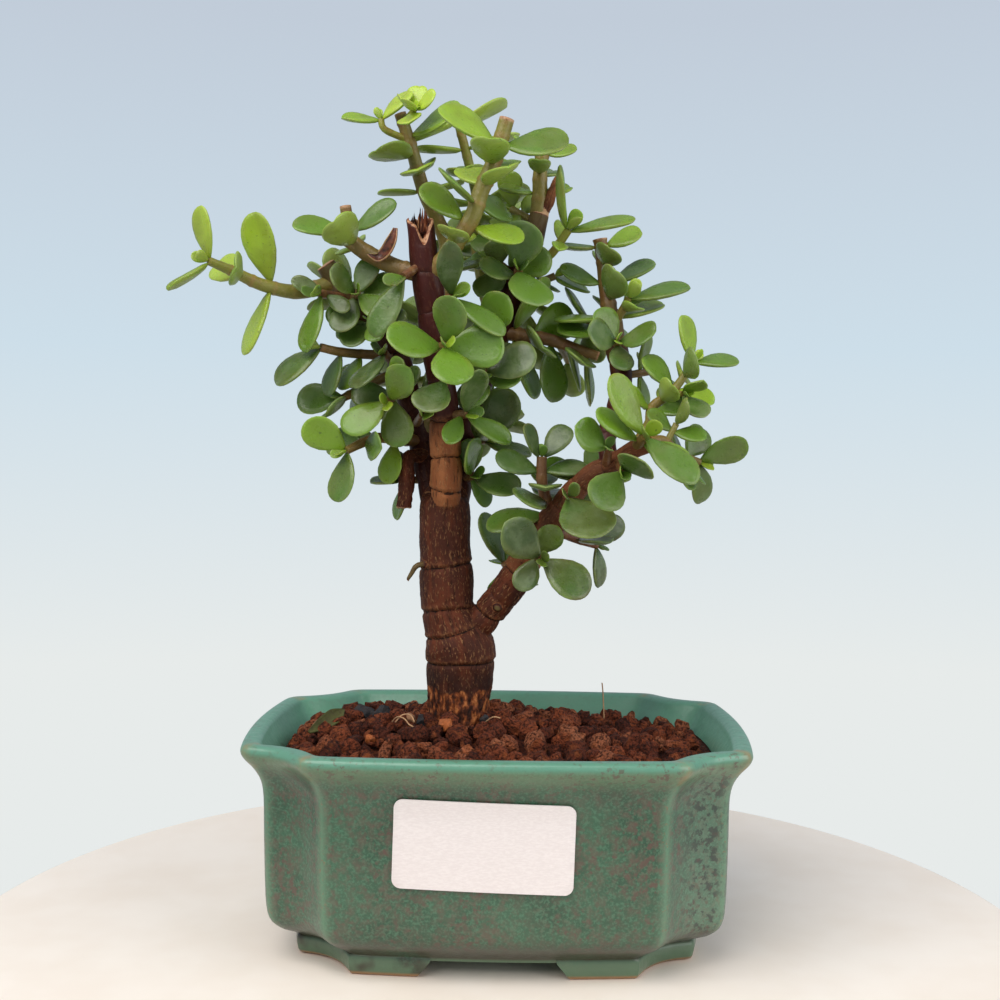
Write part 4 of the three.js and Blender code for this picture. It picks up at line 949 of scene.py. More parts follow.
# Rings by stem, as millimetres along it; the deep ones are grooves with a raised cuff above them.
SCARS = {
    "trunk": [37.6, 45.6, 51, 62],
    "front": [3.2, 7, 15.2, 25.2, 34, 43, 51, 60],
    "low": [5, 12, 18, 25, 31, 38, 46, 54, 62],
    "right": [9, 18, 27, 36, 45, 53, 60, 68],
    "left": [10, 20, 29, 37, 44, 52, 60],
    "leader": [7, 15, 22, 30, 37],
}
DEEP_SCARS = {
    "trunk": SCARS["trunk"], "front": [3.2, 7, 15.2, 25.2], "low": [12, 25, 38], "right": [60], "left": [44],
}
SCAR_DEPTH = 0.42
SHALLOW_DEPTH = 0.12
SCAR_HALF = 0.4
FAR_FROM_SCAR = 9.0
SCAR_TILT = 0.5
CUFF_ABOVE = 0.85
CUFF_HALF = 0.6
SEGMENT_SWELL = 0.32
BUD_SCAR = [-0.4, -2.2, 81.1]
BUD_SCAR_REACH = 1.05
FOOT_BARK = [57, 61.5]
WOOD_VOXEL = 0.38
WOOD_SOFTENING = 5
TRUNK_SIDES = 28
STEM_SIDES = 18
TRUNK_SHOULDER = [[-14, 4, 107.4, 4.9], [-14, 4, 108.2, 3.0]]
# Bark by stem as [share along, age]: 0 is green skin, 0.5 purple-brown, 0.8 tan, 1 dark red-brown bark.
BARK_AGE = {
    "trunk": [[0, 1.0], [1, 0.98]],
    "front": [[0, 0.98], [0.05, 0.98], [0.06, 0.8], [0.33, 0.8], [0.36, 0.55], [1, 0.5]],
    "left": [[0, 0.62], [0.4, 0.58], [0.75, 0.45], [1, 0.25]],
    "right": [[0, 0.62], [0.35, 0.56], [0.85, 0.5], [1, 0.3]],
    "low": [[0, 0.98], [0.3, 0.95], [0.5, 0.7], [0.75, 0.71], [1, 0.73]],
    "leader": [[0, 0.52], [0.6, 0.5], [1, 0.3]],
    "snag0": [[0, 0.9], [1, 0.94]],
    "snag1": [[0, 0.66], [1, 0.8]],
    "snag2": [[0, 0.98], [0.35, 0.34], [1, 0.3]],
}
WRINKLES = {"snag0": 2.2, "snag1": 1.2}
CUT_SPREAD = [0.35, 0.65]
TORN_STEM = "front"
TORN_TIP = WOOD[TORN_STEM][-1]
TORN_WAY = -1.25
TORN_NOTCH = 6.8
TORN_NOTCH_HALF = 0.72
TORN_HOLLOW = 7.5
TORN_WALL = [0.6, 0.82]
SPLINTERS = 38
UPWARDS = np.array([0, 0, 1.0])


def nearest_stems(points):
    """For each point: its stem, its place along and round it, how clear it is, and how far out it lies."""
    count = len(points)
    best = np.full(count, 1e9)
    second = np.full(count, 1e9)
    owner = np.zeros(count, int)
    found = np.zeros((3, count))
    for index, route in enumerate(WOOD_LINES.values()):
        line, radii, distance = centre_line(route, 1.0)
        along, across, third = line_frames(line)
        gap = np.full(count, 1e9)
        near = np.zeros(count, int)
        for start in range(0, count, 8000):
            block = slice(start, start + 8000)
            away = np.linalg.norm(points[block, None, :] - line[None, :, :], axis=2)
            near[block] = away.argmin(1)
            gap[block] = away.min(1)
        gap = gap - radii[near]
        offset = points - line[near]
        out = np.linalg.norm(np.cross(offset, along[near]), axis=1) / radii[near]
        angle = np.arctan2((offset * third[near]).sum(1), (offset * across[near]).sum(1))
        reached = distance[near] + (offset * along[near]).sum(1)
        closer = gap < best
        second = np.where(closer, best, np.minimum(second, gap))
        best = np.where(closer, gap, best)
        owner = np.where(closer, index, owner)
        found = np.where(closer, [reached, angle, out], found)
    return owner, *found, second - best


def make_wood():
    vertices, faces = [], []
    for name, route in WOOD_LINES.items():
        trunk = name == "trunk"
        route = route + TRUNK_SHOULDER if trunk else route
        points, own = tube_mesh(route, TRUNK_SIDES if trunk else STEM_SIDES, 1.0)
        faces += [tuple(v + len(vertices) for v in face) for face in own]
        vertices += list(points)
    rough = mesh_object("wood_rough", vertices, faces)
    remesh = rough.modifiers.new("weld", "REMESH")
    remesh.mode = "VOXEL"
    remesh.voxel_size = WOOD_VOXEL
    soften = rough.modifiers.new("soften", "SMOOTH")
    soften.factor = 0.5
    soften.iterations = WOOD_SOFTENING
    return applied(rough)


def soft_step(value, low, high):
    t = np.clip((value - low) / (high - low), 0, 1)
    return t * t * (3 - 2 * t)


def scar_relief(name, index, s, angle):
    """Rings at the old leaf nodes: each point's move, its distance to a ring, the ring's weight and cuff."""
    move, weight, cuff = np.zeros((3, len(s)))
    ring = np.full(len(s), FAR_FROM_SCAR)
    scars = SCARS.get(name, [])
    for k, scar in enumerate(scars):
        deep = scar in DEEP_SCARS.get(name, [])
        ragged = 0.1 * np.sin(3 * angle + 3 * k) + 0.04 * np.sin(8 * angle + k)
        off = s - scar - SCAR_TILT * np.cos(angle - 2.1 * k - index) - ragged
        groove = np.exp(-(off / SCAR_HALF) ** 2)
        edge = np.exp(-((off - CUFF_ABOVE) / CUFF_HALF) ** 2)
        move += (SCAR_DEPTH if deep else SHALLOW_DEPTH) * (0.35 * edge - groove)
        weight = np.where(np.abs(off) < ring, 1 if deep else 0.4, weight)
        ring = np.minimum(ring, np.abs(off))
        cuff = np.maximum(cuff, edge * (1 if deep else 0.2))
    for below, above in zip(scars, scars[1:]):
        within = np.clip((s - below) / (above - below), 0, 1)
        move += SEGMENT_SWELL * min(1, (above - below) / 8) * np.sin(math.pi * within) ** 0.7
    return move, ring, weight, cuff


def notch_depth(angle):
    """How far the torn rim drops, by the angle round the broken stem: one deep notch and small teeth."""
    turned = (angle - TORN_WAY + math.pi) % (2 * math.pi) - math.pi
    teeth = 0.4 * (1 + np.sin(5 * angle + 1)) + 0.2 * (1 + np.sin(11 * angle))
    return TORN_NOTCH * np.exp(-np.abs(turned / TORN_NOTCH_HALF) ** 1.5) + teeth


def tear_top(points, normals, mine):
    """The broken top of a stem: a ragged rim, open down one side, round a hollow."""
    away = points[:, :2] - np.array(TORN_TIP[:2])
    share_out = np.linalg.norm(away, axis=1) / TORN_TIP[3]
    below = TORN_TIP[2] - points[:, 2]
    reach = TORN_NOTCH + 2
    near = mine & (below < reach)
    drop = np.clip(1 - below / reach, 0, 1) ** 1.3 * notch_depth(np.arctan2(away[:, 1], away[:, 0]))
    cap = near & (normals[:, 2] > 0.55) & (share_out < 1)
    hollow = TORN_HOLLOW * (1 - soft_step(share_out, *TORN_WALL))
    drop = np.where(cap, np.maximum(drop * np.clip(share_out, 0, 1), hollow), drop)
    points[near, 2] -= drop[near]
    return np.where(cap, 1 - 0.5 * soft_step(share_out, 0.7, 0.86), 0)


def vertex_rows(mesh, field):
    rows = np.zeros(len(mesh.vertices) * 3, np.float32)
    mesh.vertices.foreach_get(field, rows)
    return rows.reshape(-1, 3)


def bark_relief(places, own_age, wrinkle, index):
    """Furrows along old bark, with broad lumps, for places on one stem's unrolled skin."""
    relief = np.zeros(len(places))
    for k, (x, y, z) in enumerate(places):
        furrow = noise.noise(Vector((x * 1.1 + index * 9, y * 1.1, z * 0.3)))
        lumps_at = noise.noise(Vector((x * 0.2, y * 0.2 + index * 5, z * 0.12)))
        rough = noise.noise(Vector((x * 1.7, y * 1.7, z * 1.1 + index * 3)))
        barky = max(0.0, own_age[k] - 0.5) * 2 + wrinkle[k]
        relief[k] = barky * (0.12 * furrow + 0.09 * rough) + 0.4 * lumps_at
    return relief


def shape_bark(wood):
    mesh = wood.data
    points = vertex_rows(mesh, "co").astype(float)
    normals = vertex_rows(mesh, "normal")
    owner, along_at, around, out_at, clear = nearest_stems(points)
    count = len(points)
    push, cut_end, cuff, torn, weight = np.zeros((5, count))
    age = np.zeros(count)
    ring = np.full(count, FAR_FROM_SCAR)
    skin_place = np.zeros((count, 3))
    for index, (name, route) in enumerate(WOOD_LINES.items()):
        mine = owner == index
        s, angle = along_at[mine], around[mine]
        length = centre_line(route, 1.0)[2][-1]
        radius = np.mean([row[3] for row in route])
        own_age = np.interp(s / length, *np.array(BARK_AGE[name]).T)
        move, ring[mine], weight[mine], cuff[mine] = scar_relief(name, index, s, angle)
        places = np.stack([np.cos(angle) * radius, np.sin(angle) * radius, s], axis=1)
        low = 1 - soft_step(points[mine][:, 2], *FOOT_BARK)
        wrinkle = 2.2 * low * (name == "trunk") + WRINKLES.get(name, 0)
        move += bark_relief(places, own_age, wrinkle, index)
        push[mine] = move * np.clip(clear[mine] / 1.2, 0.25, 1)
        age[mine] = own_age
        skin_place[mine] = places
        if name not in ("trunk", TORN_STEM):
            spread = soft_step(out_at[mine], *CUT_SPREAD)
            cut_end[mine] = np.clip((s - length + 0.45) / 0.3, 0, 1) * (0.5 + 0.5 * spread)
        elif name == TORN_STEM:
            torn = tear_top(points, normals, mine)
            push[torn > 0] = 0
    from_scar = np.linalg.norm(points - np.array(BUD_SCAR), axis=1)
    bud = np.exp(-(from_scar / BUD_SCAR_REACH) ** 4)
    push += 0.45 * bud
    age = age * (1 - bud) + 0.3 * bud
    round_bud = from_scar < BUD_SCAR_REACH + 1
    ring = np.where(round_bud, np.abs(from_scar - BUD_SCAR_REACH), ring)
    weight = np.where(round_bud, 0.7, weight)
    points += normals * push[:, None]
    mesh.vertices.foreach_set("co", np.array([place(p) for p in points], np.float32).ravel())
    mesh.update()
    point_values(wood, "skin_place", skin_place * MM, "FLOAT_VECTOR")
    values = {"bark_age": age, "cut_end": cut_end, "scar_distance": ring, "scar_weight": weight,
              "cuff": cuff, "torn": torn}
    for name, value in values.items():
        point_values(wood, name, value)


def make_splinters():
    """Pointed splinters that stand round the torn rim and line its open side."""
    random = random_from(5)
    points, faces = [], []
    for k in range(SPLINTERS):
        angle = 2 * math.pi * (k + 0.8 * random()) / SPLINTERS
        out = np.array([math.cos(angle), math.sin(angle), 0])
        side = np.array([-out[1], out[0], 0])
        reach = TORN_TIP[3] * (0.45 + 0.37 * random())
        foot = np.array([*TORN_TIP[:2], TORN_TIP[2] - float(notch_depth(angle)) - 3.0]) + out * reach
        length = 2.6 + 2.2 * random() ** 1.5 + 1.6 * max(0, out[1])
        lean = out * (0.2 * random() - 0.12) + side * 0.3 * (random() - 0.5)
        wide, thick = 0.16 + 0.22 * random(), 0.12 + 0.1 * random()
        start = len(points)
        for share, narrow in ((0.0, 1.0), (0.55, 0.8)):
            middle = foot + (UPWARDS + lean * share) * length * share
            for a, b in ((-1, -1), (1, -1), (1, 1), (-1, 1)):
                points.append(middle + side * a * wide * narrow + out * b * thick)
        points.append(foot + (UPWARDS + lean) * length)
        faces.append((start + 3, start + 2, start + 1, start))
        for c in range(4):
            d = (c + 1) % 4
            faces.append((start + c, start + d, start + 4 + d, start + 4 + c))
            faces.append((start + 4 + c, start + 4 + d, start + 8))
    splinters = placed_object("splinters", points, faces, smooth=False)
    face_outwards(splinters)
    point_values(splinters, "skin_place", np.array(points) * MM, "FLOAT_VECTOR")
    for name, value in (("bark_age", 0.5), ("scar_distance", FAR_FROM_SCAR), ("torn", 1)):
        point_values(splinters, name, value)
    return splinters


def make_bark():
    bark = Finish("bark", 0.6, 0.2)
    where = bark.where
    height = bark.put("ShaderNodeSeparateXYZ", {0: where}, "Z")
    skin = bark.attribute("skin_place", "Vector")
    age = bark.attribute("bark_age")
    bark.tone = bark.ramped(age, [
        (0.0, (104, 116, 56)), (0.3, (104, 88, 54)), (0.5, (62, 20, 16)), (0.66, (58, 23, 16)),
        (0.8, (154, 95, 57)), (0.92, (76, 36, 21)), (1.0, (66, 30, 18))])
    stretched = bark.drawn_out(skin, 0.2)
    old = bark.between(age, 0.55, 0.8)
    bare = bark.sum("ADD", bark.times(old, 0.85), 0.15)
    bark.coat(bark.times(bark.blots(380, 0.42, 0.66, 4, stretched), bare), (110, 52, 26), 0.55)
    # Large dark blots at random: painted shade patches.
    bark.coat(bark.blots(120, 0.45, 0.7), (44, 20, 14), 0.45)
    crack = bark.times(bark.blots(1100, 0.57, 0.66, 4, stretched), bare)
    bark.coat(crack, (34, 15, 10), 0.55)
    fleck = bark.times(bark.blots(2500, 0.55, 0.66, 3, bark.drawn_out(skin, 0.32)), bare)
    bark.coat(fleck, (170, 122, 82), 0.5)
    bark.coat(bark.times(bark.attribute("cuff"), bark.blots(900, 0.42, 0.6)), (142, 92, 56), 0.4)
    # The rings are dark lines whose edges waver.
    from_ring = bark.sum("ADD", bark.attribute("scar_distance"), bark.times(bark.blots(700, 0.3, 0.7), 0.16))
    ring = bark.times(bark.between(from_ring, 0.33, 0.15, soft=True), bark.attribute("scar_weight"))
    bark.coat(ring, (24, 11, 8), 0.9)
    # The trunk's foot is rusty flaking bark up to a ragged edge, with a dark band above it.
    above = bark.between(height, 0.068, 0.0625, soft=True)
    bark.coat(bark.times(above, bark.blots(300, 0.2, 0.6)), (28, 14, 10), 0.6)
    rough_skin = bark.drawn_out(skin, 0.45)
    rusty = bark.ramped(bark.blots(900, 0.3, 0.7, 6, rough_skin), [
        (0.0, (26, 13, 9)), (0.35, (70, 33, 17)), (0.7, (120, 62, 31)), (1.0, (176, 108, 60))])
    ragged = bark.sum("ADD", bark.times(bark.blots(260, 0.3, 0.7, 4, rough_skin), 0.7), 0.3)
    foot = bark.between(height, 0.0625, 0.058, soft=True)
    bark.coat(bark.between(bark.times(foot, ragged), 0.22, 0.34), rusty)
    # The torn top has a pale rim and dark raw fibres inside; cut ends have a dark core and a pale face.
    raw = bark.ramped(bark.blots(900, 0.34, 0.68, 4, bark.drawn_out(where, 0.12)), [
        (0.0, (26, 10, 8)), (0.5, (70, 30, 20)), (0.85, (128, 70, 42)), (1.0, (196, 146, 106))])
    torn = bark.attribute("torn")
    torn_wood = bark.mixed(bark.blots(900, 0.35, 0.6), (140, 84, 58), (200, 152, 116))
    bark.coat(bark.between(torn, end=0.3), torn_wood)
    bark.coat(bark.between(torn, 0.55, 0.8), raw)
    cut_end = bark.attribute("cut_end")
    bark.coat(bark.between(cut_end, end=0.5), (96, 48, 34))
    bark.coat(bark.between(cut_end, 0.5, 0.95), (188, 148, 112))
    relief = bark.sum("SUBTRACT", bark.times(fleck, 0.8), crack)
    bark.relief(bark.sum("SUBTRACT", relief, ring), 0.6, 0.0004)
    bark.feed("Roughness", bark.between(old, to=(0.42, 0.66)))
    return bark.done()


wood = make_wood()
shape_bark(wood)
wood.data.shade_smooth()
wood.data.materials.clear()
wood = joined("trunk_and_stems", [wood, make_splinters()])
wood.data.materials.append(make_bark())
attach(wood, "root")
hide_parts("trunk_and_branches")

# Leafy stems: each is one grown twig with its side twigs and its leaves in opposite pairs, fused together.
# Green skin hardens to brown wood with age, and the leaves are fleshy and glossy, paler where young.
# Each twig gives, in this order:
TWIG_PARTS = (
    "on",  # the stem that it grows from
    "at",  # how far along that stem
    "way",  # the route's next points
    "thick",  # radius at the foot and at the tip
    "turns",  # each pair's angle in degrees
    "span",  # where the first and the last pair stand
    "leaf",  # leaf length of the first and the last pair
    "wide",  # leaf width to length
    "tone",  # 0 old to 1 young
    "open",  # how far the pairs open along the twig and at its tip, where it isn't the usual
)
OPENING = [80, 54]
TWIGS = {
    "crown_rear": ["right", 0.59, [[-7, 17, 171], [-7, 18, 183], [-9, 17, 192], [-12, 15, 203]], [1.7, 1.1],
        [0, 90, 0, 90, 0, 30], [0.4, 1], [11, 13], 0.79, 0.8, [84, 96]],
    "crown_left": ["left", 0.29, [[-18, 14, 137], [-15, 14, 150], [-14, 14, 161], [-15, 13, 173],
        [-20, 10, 184], [-23, 8, 194], [-26, 7, 203]], [2.4, 1.5], [0, 90, 60, 0], [0.77, 0.93], [10.5, 14],
        0.74, 0.7],
    "crown_left_twig": ["crown_left", 0.92, [[-29.5, 5, 198.5], [-30.5, 5, 201]], [0.9, 0.8], [0], [1, 1],
        [9, 9], 0.74, 0.85, [80, 66]],
    "crown_left_tip": ["crown_left", 0.97, [[-22, 3, 203]], [0.9, 0.7], [90, 0], [0.8, 1], [7.5, 7], 0.82,
        1],
    "crown_front": ["front", 0.79, [[-14, -10, 164], [-11, -11, 168], [-7, -12, 174], [-5, -12, 180],
        [-2, -12, 187], [1, -12, 197]], [2.3, 1.8], [90, 0, 60, 120, 90, 0], [0.28, 0.86], [10.5, 14], 0.74,
        0.75],
    "shoulder": ["front", 0.81, [[-25, -6, 163], [-33, -4, 167], [-37, -4, 170]], [2.2, 1.9], [90],
        [0.93, 0.93], [12.5, 12.5], 0.74, 0.6],
    "shoulder_peg": ["shoulder", 0.98, [[-38, -4, 178]], [1.5, 1.4], [0], [0.3, 0.3], [11.5, 11.5], 0.6,
        0.55],
    "crown_right": ["right", 0.97, [[9, 5, 182], [9, 5, 188], [10, 5, 197]], [2.2, 1.6], [0, 70, 0],
        [0.35, 0.8], [8.5, 7], 0.74, 0.7],
    "right_whorl": ["right", 0.88, [[11, 2, 167], [16, -2, 173]], [1.2, 1], [90, 0], [0.75, 1], [9, 15],
        0.44, 0.75, [80, 46]],
    "leader_top": ["leader", 0.96, [[26, 6, 158], [25, 6, 166], [24, 6, 172]], [2.1, 1.7], [0, 90, 0, 90, 0],
        [0.1, 0.92], [12, 9.5], 0.74, 0.55],
    "leader_outer": ["leader", 0.94, [[31, 1, 157]], [1.1, 0.9], [90, 0], [0.7, 1], [9, 14.5], 0.62, 0.6],
    "leader_front": ["leader", 0.81, [[28, -5, 146]], [1.2, 0.9], [90, 5], [0.7, 1], [9, 9.5], 0.82, 0.5],
    "leader_rear": ["leader", 0.9, [[22, 12, 152]], [1.1, 0.9], [0, 90, 40], [0.4, 1], [10.5, 9.5], 0.82,
        0.4],
    "crossing": ["right", 0.61, [[6, 7, 148], [12, 6, 147], [18, 6, 145], [24, 6, 143]], [2, 1.2],
        [5, 100, 0, 70, 20], [0.18, 0.9], [15, 12], 0.74, 0.45, [66, 54]],
    "far_right_upper": ["low", 0.93, [[35, -14, 126], [36, -10, 130], [41, -9, 134], [46, -8, 141]],
        [1.4, 0.9], [0, 90, 0, 90, 0], [0.45, 1], [8.5, 10], 0.74, 0.65],
    "far_right_front": ["far_right_upper", 0.66, [[43, -13, 133]], [0.9, 0.8], [60, 0, 90], [0.4, 1], [8, 8],
        0.74, 0.55],
    "leader_middle": ["leader", 0.6, [[36, 2, 139]], [1, 0.9], [0, 90, 20], [0.4, 1], [9.5, 8.5], 0.82,
        0.45],
    "far_right_lower": ["low", 0.99, [[38, -18, 122], [42, -15, 119], [47, -14, 117]], [1.3, 0.9],
        [0, 90, -40, 20], [0.4, 1], [9, 10.5], 0.74, 0.5],
    "far_right_bud": ["far_right_lower", 0.35, [[41, -17, 126]], [0.8, 0.7], [0, 90], [0.6, 1], [7.5, 7],
        0.74, 0.6],
    "low_end": ["low", 0.94, [[33, -25, 123]], [1.4, 1.1], [165, 130], [0.6, 1], [11.5, 15.5], 0.54, 0.5,
        [66, 66]],
    "low_under": ["low", 0.87, [[28, -24, 115]], [1.1, 0.9], [235], [1, 1], [11, 11], 0.88, 0.35],
    "low_over": ["low", 0.82, [[25, -23, 120]], [1.1, 0.9], [172], [1, 1], [10.5, 10.5], 0.8, 0.3],
    "low_upright": ["low", 0.55, [[11, -7, 108], [10, -8, 113], [10, -8, 118]], [1.6, 1.2],
        [0, 60, 90, 0, 20], [0.13, 1], [14, 9], 0.68, 0.35, [78, 40]],
    "low_front": ["low", 0.42, [[10, -13, 94]], [1.2, 1], [60, 145], [0.6, 1], [9, 12.5], 0.74, 0.3,
        [80, 68]],
    "low_disc": ["low", 0.6, [[16, -17, 109]], [1.2, 1], [-60], [1, 1], [13.5, 13.5], 0.95, 0.2, [80, 76]],
    "low_rear": ["low", 0.53, [[18, -1, 98], [24, 3, 96]], [1.1, 0.9], [90, 10], [0.6, 1], [9.5, 9.5], 0.74,
        0.25, [80, 64]],
    "low_inner": ["low", 0.32, [[1, 5, 91]], [1, 0.9], [-60, -130], [0.7, 1], [8.5, 14], 0.6, 0.35,
        [80, 72]],
    "trunk_leaf": ["right", 0.12, [[-7, 3, 113]], [1.1, 1], [-90, -35], [0.8, 1], [9, 11.5], 0.74, 0.4],
    "middle_right": ["front", 0.35, [[-8, -8, 128]], [1.1, 1], [40, -60], [0.8, 1], [10, 12.5], 0.52, 0.4],
    "middle_rear": ["right", 0.24, [[-4, 6, 122]], [1.1, 1], [90, 0], [0.7, 1], [11, 13.5], 0.74, 0.35],
    "front_whorl": ["front", 0.56, [[-13, -15, 144]], [1.4, 1.1], [175, 90], [0.8, 1], [13.5, 12.5], 0.8,
        0.5, [74, 56]],
    "front_drop": ["front", 0.42, [[-13, -12, 136]], [1.1, 1], [275], [1, 1], [10.5, 10.5], 0.95, 0.3,
        [80, 84]],
    "front_right": ["right", 0.47, [[-4, -6, 138]], [1.3, 1], [50, -35, 20], [0.6, 1], [10, 12], 0.74, 0.25,
        [84, 66]],
    "front_upper": ["right", 0.58, [[-5, -5, 148]], [1.2, 1], [45], [1, 1], [11, 11], 0.84, 0.4, [80, 62]],
    "front_hanging": ["front", 0.71, [[-11.5, -12, 155.5]], [1.1, 1], [150], [1, 1], [15, 15], 0.46, 0.3],
    "right_disc": ["right", 0.74, [[4, -4, 163]], [1.2, 1], [0, 270], [0.8, 1], [9, 11.5], 0.95, 0.3,
        [84, 70]],
    "heart_left": ["right", 0.79, [[-3, 4, 167]], [1, 0.9], [0, 90, 30], [0.4, 1], [10.5, 9.5], 0.79, 0.5],
    "heart_right": ["right", 0.74, [[13, 7, 163]], [1.1, 0.9], [0, 90, 30], [0.4, 1], [11.5, 10], 0.74, 0.5],
    "heart_upper": ["right", 0.97, [[2, 10, 180]], [1, 0.9], [0, 90], [0.6, 1], [9.5, 9], 0.74, 0.6],
    "left_hanging": ["front", 0.85, [[-23, -13, 160]], [1.1, 1], [-80], [1, 1], [15, 15], 0.48, 0.3],
    "left_inner": ["left", 0.84, [[-35, -5, 157]], [1.2, 1], [20, 85, 147], [0.5, 1], [10, 10], 0.74, 0.4],
    "left_drop": ["left", 0.85, [[-44, -4, 157]], [1.2, 1], [175, 270], [0.85, 1], [8.5, 15], 0.52, 0.3,
        [80, 88]],
    "far_left": ["left", 0.93, [[-50, 1, 158], [-58, -3, 159], [-65, -6, 162], [-70, -9, 164]], [2.1, 1],
        [0, 90, 0], [0.52, 1], [16, 12], 0.6, 0.75, [75, 60]],
    "left_middle": ["left", 0.72, [[-32, -3, 151]], [1.1, 0.9], [0, 60, 110], [0.5, 1], [8.5, 8.5], 0.82,
        0.4],
    "left_outer": ["left", 0.6, [[-38, 0, 143], [-44, -4, 144]], [1.3, 1], [90, 0, 150], [0.5, 1],
        [9.5, 12.5], 0.74, 0.45, [80, 42]],
    "left_broad": ["left", 0.55, [[-29, 0, 143]], [1.1, 1], [-110], [1, 1], [14, 14], 0.64, 0.3],
    "lower_whorl": ["left", 0.49, [[-27, -8, 131]], [1.4, 1], [0, 84, -148], [0.6, 1], [10.5, 12.5], 0.74,
        0.5, [76, 60]],
    "lower_left": ["left", 0.55, [[-34, 4, 135], [-39, 1, 132]], [1.3, 1], [0, 90, 10], [0.5, 1], [10, 11.5],
        0.74, 0.5, [78, 50]],
    "lower_outer": ["left", 0.29, [[-26, 4, 122], [-31, -3, 122], [-37, -8, 119]], [1.7, 1],
        [90, 0, 36, 110], [0.4, 1], [9.5, 11.5], 0.74, 0.5, [76, 62]],
    "lower_long": ["left", 0.35, [[-19, -3, 128]], [1.1, 1], [238], [1, 1], [16.5, 16.5], 0.44, 0.4,
        [80, 80]],
    "lower_stub": ["left", 0.14, [[-25, 9, 112]], [1, 0.9], [0, 90], [0.8, 1], [9.5, 9.5], 0.79, 0.4],
    "rear_lower": ["right", 0.3, [[-5, 19, 128]], [1.2, 1], [0, 90, 30], [0.45, 1], [12, 11.5], 0.79, 0.5],
    "rear_upper": ["right", 0.66, [[7, 17, 158]], [1.2, 1], [0, 90, 30], [0.45, 1], [12, 11.5], 0.79, 0.5],
    "rear_left": ["left", 0.5, [[-27, 22, 138]], [1.2, 1], [0, 90, 30], [0.45, 1], [12, 11.5], 0.79, 0.5],
    "rear_far_left": ["left", 0.8, [[-41, 16, 161]], [1.2, 1], [0, 90, 30], [0.45, 1], [11, 11], 0.79, 0.5],
    "rear_low": ["low", 0.7, [[21, -2, 113]], [1.1, 0.9], [0, 90], [0.7, 1], [10.5, 10], 0.74, 0.5],
    "rear_crown_low": ["crown_left", 0.38, [[-21, 24, 152]], [1.2, 1], [0, 90], [0.7, 1], [12, 11], 0.79,
        0.5],
    "rear_crown_high": ["crown_left", 0.6, [[-12, 23, 173]], [1.2, 1], [0, 90], [0.7, 1], [11, 11], 0.79,
        0.5],
    "rear_crown_right": ["crown_rear", 0.5, [[-1, 25, 180]], [1, 0.9], [0, 90], [0.7, 1], [11, 10], 0.79,
        0.5],
    "rear_crossing": ["crossing", 0.6, [[17, 22, 143]], [1, 0.9], [0, 90], [0.7, 1], [11, 10], 0.79, 0.5],
}
SPRIGS = {name: dict(zip(TWIG_PARTS, [*row, OPENING])) for name, row in TWIGS.items()}
TURN_PLAY = 9
OPEN_PLAY = 8
ROLL_PLAY = 18
SIZE_PLAY = 0.07
CROWN_AXIS = [-8, 15]
CROWN_REACH = [60, 18]
LIGHT_LIFT = 0.7
LIGHT_PULL = 0.74
LEAF_SEED = 7
LEAF_BEND = 0.07
LEAF_ROOM = 1.65
STEM_ROOM = 1.1
TIP_FROM = 0.97
# What is tried where a leaf would meet something, as [turn, opening, size].
LEAF_MOVES = [
    (0, 0, 1), (14, 0, 1), (-14, 0, 1), (0, -14, 1), (0, 14, 1), (26, 0, 0.95), (-26, 0, 0.95),
    (18, -18, 0.9), (-18, -18, 0.9), (18, 18, 0.9), (-18, 18, 0.9), (0, -28, 0.85), (38, 0, 0.85),
    (-38, 0, 0.85), (30, -25, 0.8), (-30, -25, 0.8), (0, 28, 0.78),
]
# Places on a leaf that are tested, as [share of its length, share of its half width].
LEAF_TESTS = np.array([
    [0.08, 0], [0.25, 0], [0.45, -0.8], [0.45, 0.8], [0.6, 0], [0.75, -1], [0.75, 1], [0.86, 0],
    [0.9, -0.75], [0.9, 0.75], [1, -0.3], [1, 0.3],
])
MOST_LEAVES = 400


def unit(vector):
    return vector / np.linalg.norm(vector)


def part_way(route, share):
    """The point, direction and radius at a share of a route's length."""
    route = np.array(route, dtype=float)
    steps = np.linalg.norm(np.diff(route[:, :3], axis=0), axis=1)
    left = share * steps.sum()
    k = 0
    while k < len(steps) - 1 and left > steps[k]:
        left -= steps[k]
        k += 1
    row = route[k] + (route[k + 1] - route[k]) * min(1, left / steps[k])
    return row[:3], unit(route[k + 1][:3] - route[k][:3]), row[3]


def sprig_routes():
    routes = {}
    for name, sprig in SPRIGS.items():
        parent = WOOD.get(sprig["on"]) or routes[sprig["on"]]
        points = [part_way(parent, sprig["at"])[0]] + sprig["way"]
        foot, tip = sprig["thick"]
        last = len(points) - 1
        routes[name] = [[*p, foot + (tip - foot) * k / last] for k, p in enumerate(points)]
    return routes


def node_of(name):
    """The leafy stem that a side twig is fused to, or the stem itself."""
    parent = SPRIGS[name]["on"]
    return name if parent in WOOD else node_of(parent)


def turned_about(vector, axis, angle):
    cos, sin = math.cos(angle), math.sin(angle)
    return vector * cos + np.cross(axis, vector) * sin + axis * axis.dot(vector) * (1 - cos)


